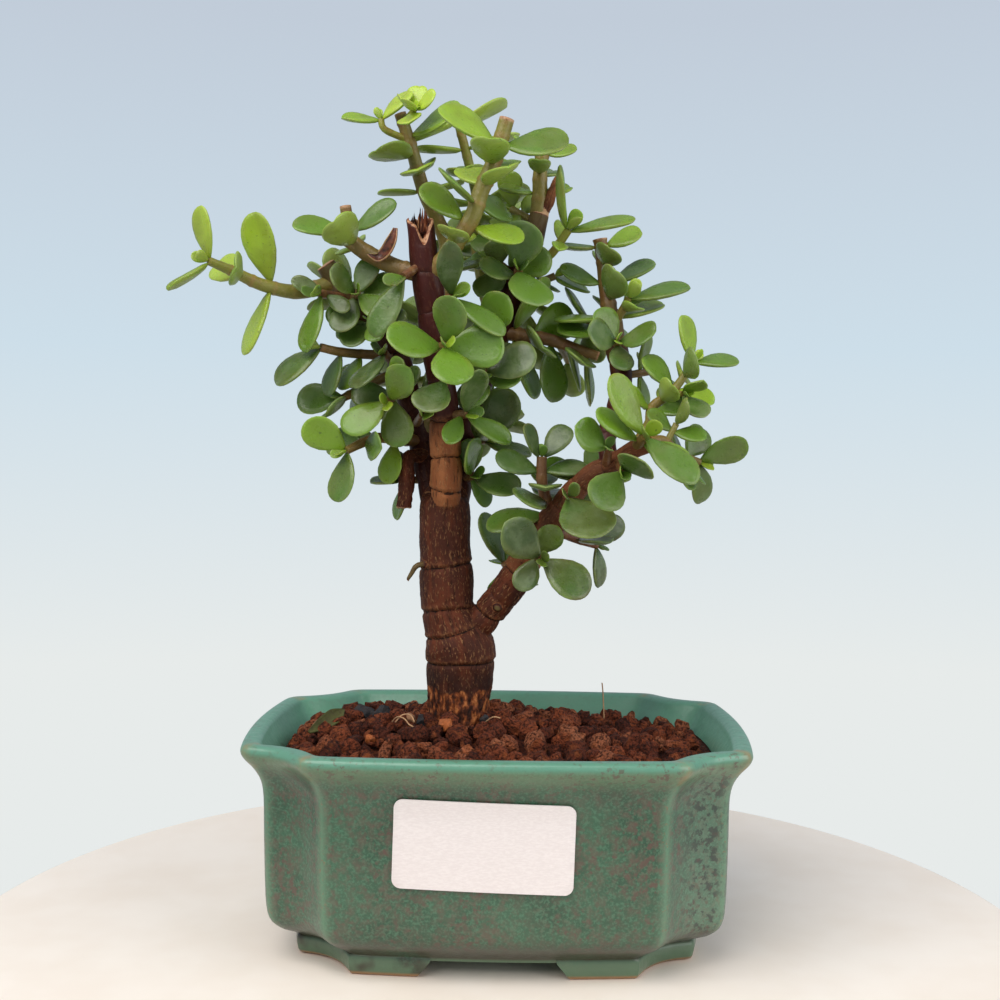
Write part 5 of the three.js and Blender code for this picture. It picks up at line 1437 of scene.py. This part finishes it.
def place_leaf(point, stem, radius, turn, opening, length, half, roll):
    """A leaf opens from its stem, then turns its face part of the way to the light outside the crown."""
    seen = np.array([0, 0, 1.0]) if abs(stem[0]) > 0.8 else np.array([1.0, 0, 0])
    first = unit(seen - stem * seen.dot(stem))
    second = np.cross(stem, first)
    angle, lean = math.radians(turn), math.radians(opening)
    out = first * math.cos(angle) + second * math.sin(angle)
    way = stem * math.cos(lean) + out * math.sin(lean)
    face = stem * math.sin(lean) - out * math.cos(lean)
    root = point + out * max(0, radius - 0.4)
    light = unit(np.array([(root[0] - CROWN_AXIS[0]) / CROWN_REACH[0],
                           (root[1] - CROWN_AXIS[1]) / CROWN_REACH[1], LIGHT_LIFT]))
    face = face * (1 - LIGHT_PULL) + light * LIGHT_PULL
    face = unit(face - way * face.dot(way))
    face = turned_about(face, way, math.radians(roll))
    return {"root": root, "way": way, "face": face, "side": np.cross(way, face),
            "length": length, "half": half}


def leaf_tests(leaf):
    along, across = LEAF_TESTS[:, :1], LEAF_TESTS[:, 1:]
    return (leaf["root"] + leaf["way"] * along * leaf["length"] + leaf["side"] * across * leaf["half"]
            + leaf["face"] * LEAF_BEND * leaf["length"] * along**2)


def blades_meet(tests, blade, room, start):
    """True where a tested point of one leaf lies on, or too near, the blade of another."""
    away = tests - blade["root"]
    u = (away * blade["way"]).sum(-1) / blade["length"]
    across = (away * blade["side"]).sum(-1) / blade["half"]
    off = (away * blade["face"]).sum(-1) - LEAF_BEND * blade["length"] * u * u
    reach = (u - 0.52) / (0.52 + 0.5 / blade["length"])
    spread = across / (1 + 0.6 / blade["half"])
    counts = LEAF_TESTS[:, 0] >= start
    return ((np.abs(off) < room) & (reach**2 + spread**2 < 1) & counts).any()


def stem_meets(tests, own, stems, foot, span, thick):
    """True where a tested point lies on or too near a stem; near its foot a leaf may touch its own."""
    clear_from = np.where(np.isin(stems, own), 0.45, 0.0)
    away = tests[:, None, :] - foot[None]
    shares = np.clip((away * span[None]).sum(-1) / (span**2).sum(-1), 0, 1)
    gap = np.linalg.norm(away - shares[..., None] * span[None], axis=-1)
    reach = thick[:, 0] + (thick[:, 1] - thick[:, 0]) * shares + STEM_ROOM
    return ((gap < reach) & (LEAF_TESTS[:, :1] >= clear_from[None])).any()


def pair_places(sprig, route):
    """Each pair's angle, its share of the span, whether it stands at the tip, and its place on the twig."""
    pairs = len(sprig["turns"])
    for pair, turn in enumerate(sprig["turns"]):
        share = pair / (pairs - 1) if pairs > 1 else 1
        at = sprig["span"][0] + (sprig["span"][1] - sprig["span"][0]) * share
        yield turn, share, at >= TIP_FROM, part_way(route, at)


def grow_leaves(routes):
    """Opposite pairs along each stem; a leaf that would meet another is moved, or left out."""
    random = random_from(LEAF_SEED)
    stems = {**WOOD, **routes, **SNAGS}
    segments = [(name, a, b) for name, route in stems.items() for a, b in zip(route, route[1:])]
    foot = np.array([a[:3] for _, a, _ in segments], dtype=float)
    span = np.array([b[:3] for _, _, b in segments], dtype=float) - foot
    thick = np.array([(a[3], b[3]) for _, a, b in segments], dtype=float)
    owners = np.array([name for name, _, _ in segments])
    leaves, nodes = [], []
    packed = {key: np.zeros((MOST_LEAVES, 1, 3)) for key in ("root", "way", "side", "face")}
    packed.update({key: np.ones((MOST_LEAVES, 1)) for key in ("length", "half")})
    tested = np.zeros((MOST_LEAVES, len(LEAF_TESTS), 3))

    def fits(leaf, tests, name):
        count = len(leaves)
        kin = np.array([node == node_of(name) for node in nodes], bool).reshape(-1, 1)
        start = np.where(kin, 0.4, 0.0)
        room = np.where(kin, 0.6 * LEAF_ROOM, LEAF_ROOM)
        old = {key: value[:count] for key, value in packed.items()}
        if count and (blades_meet(tests[None], old, room, start)
                      or blades_meet(tested[:count], leaf, room, start)):
            return False
        return not stem_meets(tests, [SPRIGS[name]["on"], name], owners, foot, span, thick)

    def keep(leaf, tests, name):
        for key, column in packed.items():
            column[len(leaves)] = leaf[key]
        tested[len(leaves)] = tests
        nodes.append(node_of(name))
        leaves.append({**leaf, "sprig": name})

    for name, sprig in SPRIGS.items():
        for pair_turn, share, at_tip, foot_on in pair_places(sprig, routes[name]):
            for flip in (0, 180):
                turn = pair_turn + flip + TURN_PLAY * (2 * random() - 1)
                opening = sprig["open"][at_tip] + OPEN_PLAY * (2 * random() - 1)
                roll = ROLL_PLAY * (2 * random() - 1)
                play = 1 + SIZE_PLAY * (2 * random() - 1)
                length = (sprig["leaf"][0] + (sprig["leaf"][1] - sprig["leaf"][0]) * share) * play
                for spin, lift, size in LEAF_MOVES:
                    half = size * length * sprig["wide"] / 2
                    leaf = place_leaf(*foot_on, turn + spin, opening + lift, size * length, half, roll)
                    tests = leaf_tests(leaf)
                    if fits(leaf, tests, name):
                        keep(leaf, tests, name)
                        break
    return leaves


LEAF_STATIONS = [0.0, 0.12, 0.26, 0.43, 0.62, 0.73, 0.83, 0.915, 0.98, 1.018]
LEAF_WIDEST = 0.62
LEAF_FOOT_WIDTH = 0.13
LEAF_TIP = 1.03
# A leaf's rings from the rim inwards, as (share of its outline, rise, side): four in front, two behind.
LEAF_RINGS = [(1.0, 0.0, 1), (0.95, 0.36, 1), (0.62, 0.84, 1), (0.0, 1.0, 1), (0.9, 0.5, -1), (0.0, 1.0, -1)]
LEAF_CHAINS = [[0, 1, 2, 3], [0, 4, 5]]
LEAF_CREST = [0.12, 0.86]
# Leaf forms as [curl of the tip, lift of the two halves, cupping, bluntness, lean to one side].
LEAF_FORMS = [
    [0.7, 0.5, 0.5, 0.0, 0.1], [1.3, 0.2, 0.9, 0.15, -0.2], [0.3, 0.9, 0.2, 0.0, 0.2],
    [1.8, 0.4, 0.6, 0.1, 0.1], [-0.5, 0.3, 0.3, 0.3, -0.1], [0.9, 1.2, 0.1, 0.05, 0.0],
    [0.2, -0.4, 0.6, 0.2, 0.25], [1.1, 0.6, 0.3, 0.4, -0.25],
]
BUD_LENGTH = 0.34
BUD_WIDE = 0.7
BUD_OPENING = 24
# Stems that were cut back end in a bare cut face, the rest in a pair of bud leaves.
CUT_STEMS = ("crown_left", "crown_front", "crown_right", "leader_top", "shoulder_peg", "crossing",
             "shoulder")
# On the shoulder stem sits a dry curled husk, where a leaf of the next stem stood: its line, its half
# widths, and the way that it opens.
HUSK = "shoulder"
HUSK_LEAF = ["left_hanging", 1]
HUSK_LINE = [[-32, -8.9, 165.8], [-29.6, -7.6, 164.9], [-27.3, -8.0, 166.2], [-25.9, -8.6, 168.8],
             [-25.2, -8.6, 172]]
HUSK_HALF = [0.15, 1.5, 2.0, 1.8, 0.6]
HUSK_FACING = (-0.4, -0.85, 0.4)
HUSK_CURL = 1.1
HUSK_THICK = 0.6


def leaf_width(t, blunt):
    if t > LEAF_WIDEST:
        share = (t - LEAF_WIDEST) / (LEAF_TIP - LEAF_WIDEST)
        return max(0.0, 1 - share ** (2 + blunt * 2)) ** 0.5
    return LEAF_FOOT_WIDTH + (1 - LEAF_FOOT_WIDTH) * math.sin(math.pi / 2 * t / LEAF_WIDEST) ** 1.06


def make_leaf_form(name, curl, lift, cup, blunt, lean):
    """A spoon-shaped leaf, one long and one in half width: narrow at its foot and thick along the middle."""
    outline = [(leaf_width(t, blunt), t) for t in LEAF_STATIONS] + [(0.0, LEAF_TIP)]
    outline += [(-x, t) for x, t in reversed(outline[:-1])]
    points, rim, under = [], [], []
    for share, rise, face in LEAF_RINGS:
        for x, t in outline:
            crest = min(max(t, LEAF_CREST[0]), LEAF_CREST[1])
            u = crest + (t - crest) * share
            v = x * share
            thick = 0.62 + 0.38 * math.sin(math.pi * min(1, max(0, u)) ** 0.8)
            z = face * rise * thick * (0.72 if face > 0 else 0.95)
            z += (curl * u * u + lift * abs(v) * u + cup * v * v
                  - 0.16 * math.exp(-(v / 0.14) ** 2) * (face > 0))
            points.append((v + lean * u * u * 0.6, u, z))
            rim.append(share**14)
            under.append(0.5 if share == 1 else float(face < 0))
    faces = []
    size = len(outline)
    for chain, turned in zip(LEAF_CHAINS, (False, True)):
        for first, second in zip(chain, chain[1:]):
            for k in range(size):
                a, b = first * size + k, first * size + (k + 1) % size
                c, d = second * size + (k + 1) % size, second * size + k
                faces.append((b, a, d, c) if turned else (a, b, c, d))
    shape = mesh_object(name, points, faces)
    point_values(shape, "leaf_rim", rim)
    point_values(shape, "leaf_under", under)
    point_values(shape, "leaf_place", [(x, y, 0) for x, y, _ in points], "FLOAT_VECTOR")
    mesh = bmesh.new()
    mesh.from_mesh(shape.data)
    bmesh.ops.remove_doubles(mesh, verts=mesh.verts, dist=0.004)
    bmesh.ops.recalc_face_normals(mesh, faces=mesh.faces)
    mesh.to_mesh(shape.data)
    mesh.free()
    bpy.context.scene.collection.objects.unlink(shape)
    return shape


def make_twig():
    """Round stems along the edges, ringed at even nodes, and a leaf form set on every leaf point."""
    twig = Growth("leafy_stem", {
        "Leaf forms": "Collection", "Section step": "Float", "Node spacing": "Float",
        "Node swelling": "Float", "Sides": "Int", "Leaf skin": "Material", "Stem skin": "Material"})
    given = twig.given
    line = twig.put("GeometryNodeMeshToCurve", {"Mesh": given["Geometry"]})
    bent = twig.put("GeometryNodeCurveSplineType", {"Curve": line}, spline_type="CATMULL_ROM")
    even = twig.put("GeometryNodeResampleCurve", {"Curve": bent, "Length": given["Section step"]},
                    mode="LENGTH")
    turns = twig.sum("DIVIDE", twig.put("GeometryNodeSplineParameter", out="Length"), given["Node spacing"])
    cycle = twig.sum("ABSOLUTE", twig.sum("SUBTRACT", twig.sum("FRACT", turns), 0.5))
    ring = twig.between(cycle, 0.38, 0.5, soft=True)
    swell = twig.sum("ADD", twig.times(ring, given["Node swelling"]), 1.0)
    radius = twig.times(twig.named("stem_radius"), swell)
    circle = twig.put("GeometryNodeCurvePrimitiveCircle", {"Resolution": given["Sides"], "Radius": 1.0})
    marked = twig.put("GeometryNodeStoreNamedAttribute",
                      {"Geometry": even, "Name": "node_ring", "Value": ring},
                      data_type="FLOAT", domain="POINT")
    tube = twig.put("GeometryNodeCurveToMesh", {"Curve": marked, "Profile Curve": circle, "Scale": radius,
                                                "Fill Caps": True})
    forms = twig.put("GeometryNodeCollectionInfo", {"Collection": given["Leaf forms"],
                                                    "Separate Children": True, "Reset Children": True})
    turn = twig.put("FunctionNodeEulerToRotation", {0: twig.named("leaf_turn", "FLOAT_VECTOR")})
    laid = twig.put("GeometryNodeInstanceOnPoints", {
        "Points": given["Geometry"], "Selection": twig.named("bears_leaf", "BOOLEAN"), "Instance": forms,
        "Pick Instance": True, "Instance Index": twig.named("leaf_form", "INT"), "Rotation": turn,
        "Scale": twig.named("leaf_size", "FLOAT_VECTOR")})
    real = twig.real(twig.put("GeometryNodeJoinGeometry", {0: [laid, tube]}))
    smooth = twig.put("GeometryNodeSetShadeSmooth", {"Geometry": real})
    stem = twig.skinned(smooth, Material=given["Stem skin"])
    leafy = twig.skinned(stem, Selection=twig.named("bears_leaf", "BOOLEAN"), Material=given["Leaf skin"])
    twig.node("NodeGroupOutput", {"Geometry": leafy})
    return twig


def make_leaf_skin():
    leaf = Finish("leaf_skin", 0.36)
    tone = leaf.attribute("tone")
    top = leaf.ramped(tone, [(0.0, (66, 84, 44)), (0.3, (74, 102, 40)), (0.6, (98, 134, 36)),
                             (0.85, (140, 170, 44)), (1.0, (168, 192, 58))])
    below = leaf.ramped(tone, [(0.0, (100, 118, 74)), (0.5, (120, 144, 66)), (1.0, (172, 192, 84))])
    leaf.tone = leaf.mixed(leaf.attribute("leaf_under"), top, below)
    leaf.coat(leaf.blots(60, 0.45, 0.65), (96, 92, 38), 0.4)
    # Older leaves carry a grey bloom; all have a few dark flecks, and a rim that is browner in places and
    # paler in others. The paler rim is partly a painted highlight along the edge.
    aged = leaf.between(tone, 0.65, 0.15)
    leaf.coat(leaf.times(leaf.blots(190, 0.42, 0.68, 4), aged), (132, 146, 104), 0.45)
    leaf.coat(leaf.blots(1300, 0.66, 0.72, 2), (42, 56, 26), 0.6)
    # Rim colour: brown is the leaf's own, the pale tone is partly a painted highlight.
    rim_tint_and_highlight = leaf.mixed(leaf.blots(90, 0.5, 0.66), (168, 180, 96), (138, 92, 56))
    leaf.coat(leaf.times(leaf.attribute("leaf_rim"), leaf.blots(150, 0.3, 0.7)), rim_tint_and_highlight, 0.5)
    # A tone below zero is a dry, withered leaf.
    withered = leaf.mixed(leaf.blots(600, 0.4, 0.62, 4), (110, 58, 40), (58, 30, 24))
    withered = leaf.mixed(leaf.attribute("leaf_rim"), withered, (178, 134, 104))
    leaf.coat(leaf.between(tone, -0.2, -0.6), withered)
    leaf.fix({"Subsurface Weight": 0.25, "Subsurface Radius": (0.6, 1.0, 0.2), "Subsurface Scale": 0.0014})
    leaf.feed("Roughness", leaf.between(leaf.blots(230, 0.3, 0.75, 4), to=(0.24, 0.44)))
    leaf.relief(leaf.blots(900, 0.2, 0.8), 0.12, 0.0004)
    return leaf.done()


def make_stem_skin():
    stem = Finish("stem_skin", 0.42, 0.45)
    stem.tone = stem.ramped(stem.attribute("stem_youth"), [
        (0.0, (84, 40, 30)), (0.3, (104, 62, 40)), (0.5, (114, 90, 44)), (0.7, (122, 116, 46)),
        (1.0, (150, 162, 58))])
    stem.coat(stem.blots(150, 0.45, 0.68), (128, 74, 48), 0.45)
    stem.coat(stem.attribute("node_ring"), (150, 112, 62), 0.5)
    stem.coat(stem.blots(1200, 0.62, 0.7, 2), (160, 132, 92), 0.5)
    cut_face = stem.mixed(stem.blots(700, 0.45, 0.65), (190, 146, 112), (140, 84, 62))
    stem.coat(stem.between(stem.attribute("stem_cut"), 0.9, 0.97), cut_face)
    stem.relief(stem.blots(900, 0.3, 0.7), 0.3, 0.0003)
    return stem.done()


def bud_leaves(name, routes):
    """The small pair of unopened leaves at the tip of a stem that still grows."""
    sprig = SPRIGS[name]
    if name in CUT_STEMS or sprig["span"][1] < TIP_FROM:
        return []
    point, stem, radius = part_way(routes[name], 1)
    length = BUD_LENGTH * sprig["leaf"][1]
    turns = [sprig["turns"][-1] + 90 + flip for flip in (0, 180)]
    buds = [place_leaf(point, stem, 0.5 * radius, turn, BUD_OPENING, length, length * BUD_WIDE / 2, 0)
            for turn in turns]
    return [{**bud, "sprig": name, "bud": True} for bud in buds]


# What each point of a twig carries for its growth, and of what kind.
TWIG_VALUES = {
    "stem_radius": "FLOAT", "stem_youth": "FLOAT", "stem_cut": "FLOAT", "tone": "FLOAT",
    "leaf_turn": "FLOAT_VECTOR", "leaf_size": "FLOAT_VECTOR", "bears_leaf": "BOOLEAN", "leaf_form": "INT",
}


def sprig_points(name, kin, routes, leaves, random):
    """The twigs as edges and the leaves as loose points, each with the values that shape it."""
    points, edges, rows = [], [], []
    for own in kin:
        tone = SPRIGS[own]["tone"]
        route = routes[own]
        edges += [(len(points) + k - 1, len(points) + k) for k in range(1, len(route))]
        for k, row in enumerate(route):
            youth = min(1, max(0, 0.05 + tone - 0.12 * (row[3] - 1)))
            cut = 1.0 if own in CUT_STEMS and k == len(route) - 1 else 0.0
            points.append(place(row))
            rows.append((row[3] * MM, youth, cut, tone, (0, 0, 0), (1, 1, 1), False, 0))
    own_leaves = [leaf for leaf in leaves if leaf["sprig"] in kin]
    own_leaves += [bud for own in kin for bud in bud_leaves(own, routes)]
    for leaf in own_leaves:
        bud = "bud" in leaf
        turn = Matrix((leaf["side"], leaf["way"], leaf["face"])).transposed().to_euler()
        thick = math.sqrt(leaf["length"] / 11) * (0.6 if bud else 1)
        form = int(random() * len(LEAF_FORMS))
        tone = SPRIGS[leaf["sprig"]]["tone"] + 0.5 * (random() - 0.5) + (0.25 if bud else 0)
        size = (leaf["half"] * MM, leaf["length"] * MM, thick * MM)
        points.append(place(leaf["root"]))
        rows.append((MM, 0, 0, min(1, max(0, tone)), tuple(turn), size, True, form))
    sprig = bpy.data.objects.new(name, bpy.data.meshes.new(name))
    sprig.data.from_pydata(points, edges, [])
    bpy.context.scene.collection.objects.link(sprig)
    for (key, kind), values in zip(TWIG_VALUES.items(), zip(*rows)):
        if kind in ("BOOLEAN", "INT"):
            sprig.data.attributes.new(key, kind, "POINT").data.foreach_set("value", values)
        else:
            point_values(sprig, key, values, kind)
    return sprig


def make_husk():
    points, faces = thin_shell(HUSK_LINE, HUSK_HALF, HUSK_FACING, HUSK_CURL, HUSK_THICK)
    husk = placed_object("husk", points, faces)
    face_outwards(husk)
    at_edge = [k % SHELL_ACROSS in (0, SHELL_ACROSS - 1) for k in range(len(points))]
    point_values(husk, "tone", -1.0)
    point_values(husk, "leaf_rim", at_edge)
    husk.data.materials.append(leaf_skin)
    return husk


leaf_forms = bpy.data.collections.new("leaf_forms")
for k, form in enumerate(LEAF_FORMS):
    leaf_forms.objects.link(make_leaf_form("leaf_form_%d" % k, *form))
twig = make_twig()
leaf_skin = make_leaf_skin()
stem_skin = make_stem_skin()
twig_values = {
    "Leaf forms": leaf_forms, "Section step": 0.8 * MM, "Node spacing": 5.5 * MM, "Node swelling": 0.12,
    "Sides": 14, "Leaf skin": leaf_skin, "Stem skin": stem_skin,
}
routes = sprig_routes()
leaves = grow_leaves(routes)
husk_leaf = [leaf for leaf in leaves if leaf["sprig"] == HUSK_LEAF[0]][HUSK_LEAF[1]]
leaves = [leaf for leaf in leaves if leaf is not husk_leaf]
form_random = random_from(3)
for name in SPRIGS:
    if node_of(name) != name:
        continue
    kin = [other for other in SPRIGS if node_of(other) == name]
    sprig = twig.grow(sprig_points(name + "_leafy", kin, routes, leaves, form_random), twig_values)
    if name == HUSK:
        sprig = joined(sprig.name, [sprig, make_husk()])
    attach(sprig, "root")
    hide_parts(name)

# The plant stands on a plain pale round table top, in soft light from a wide window-like lamp above.
TABLE_RADIUS = 0.135
TABLE_STEPS = 160
# The top's edge from the top down, as [height, radius].
TABLE_EDGE = [[0.0, TABLE_RADIUS - 0.002], [-0.0006, TABLE_RADIUS - 0.0006], [-0.002, TABLE_RADIUS],
              [-0.006, TABLE_RADIUS]]


def make_table():
    points = []
    for z, reach in TABLE_EDGE:
        for k in range(TABLE_STEPS):
            angle = 2 * math.pi * k / TABLE_STEPS
            points.append((POT_MIDDLE + reach * math.cos(angle), reach * math.sin(angle), z))
    faces = [(a, d, c, b) for a, b, c, d in skin_faces(len(TABLE_EDGE), TABLE_STEPS)]
    count = len(points)
    faces += [tuple(range(TABLE_STEPS)), tuple(range(count - 1, count - TABLE_STEPS - 1, -1))]
    return mesh_object("floor", points, faces, smooth=False)


def make_table_paint():
    paint = Finish("pale_floor", 0.5, 0.3)
    paint.tone = paint.mixed(paint.blots(30, 0.3, 0.7), (243, 231, 219), (248, 238, 228))
    return paint.done()


floor = make_table()
floor.data.materials.append(make_table_paint())

SKY = [(0.0, (231, 235, 234)), (0.5, (205, 222, 233)), (1.0, (193, 204, 217))]
SKY_RISE = [-0.16, 0.31]
SKY_LIGHT = 0.62
world = bpy.data.worlds.new("studio")
bpy.context.scene.world = world
world.use_nodes = True
sky = Nodes(world.node_tree)
direction = sky.put("ShaderNodeTexCoord", out="Generated")
height = sky.put("ShaderNodeSeparateXYZ", {0: direction}, "Z")
shades = sky.ramped(sky.between(height, *SKY_RISE), SKY)
seen = sky.put("ShaderNodeLightPath", out="Is Camera Ray")
background = sky.tree.nodes["Background"].inputs
sky.tree.links.new(shades, background["Color"])
sky.tree.links.new(sky.between(seen, to=(SKY_LIGHT, 1.0)), background["Strength"])


def add_lamp(name, at, towards, size, watts, tint):
    lamp = bpy.data.lights.new(name, "AREA")
    lamp.shape = "RECTANGLE"
    lamp.size, lamp.size_y = size
    lamp.energy = watts
    lamp.color = tint
    holder = bpy.data.objects.new(name, lamp)
    holder.location = at
    holder.rotation_euler = (Vector(towards) - Vector(at)).to_track_quat("-Z", "Y").to_euler()
    bpy.context.scene.collection.objects.link(holder)


add_lamp("key_light", (-0.35, -0.45, 0.75), (0, 0, 0.1), (0.9, 0.7), 8.3, (1.0, 0.96, 0.9))
add_lamp("fill_light", (0.6, -0.35, 0.35), (0, 0, 0.1), (0.6, 0.6), 2.9, (1.0, 0.98, 0.95))

CAMERA_BACK = 0.3169
CAMERA_RIGHT = 0.00656
CAMERA_HEIGHT = 0.1202
CAMERA_TURN = 0.021
CAMERA_PITCH = 0.041
CAMERA_ROLL = 0.009
CAMERA_LENS = 46.39
camera_data = bpy.data.cameras.new("camera")
camera_data.sensor_width = 36
camera_data.sensor_fit = "HORIZONTAL"
camera_data.lens = CAMERA_LENS
camera_data.clip_start = 0.01
camera = bpy.data.objects.new("camera", camera_data)
look = Matrix.Rotation(CAMERA_TURN, 4, "Z") @ Matrix.Rotation(math.pi / 2 - CAMERA_PITCH, 4, "X")
look = look @ Matrix.Rotation(CAMERA_ROLL, 4, "Z")
camera.matrix_world = Matrix.Translation((POT_MIDDLE + CAMERA_RIGHT, -CAMERA_BACK, CAMERA_HEIGHT)) @ look
bpy.context.scene.collection.objects.link(camera)
bpy.context.scene.camera = camera
bpy.context.scene.view_settings.view_transform = "Standard"
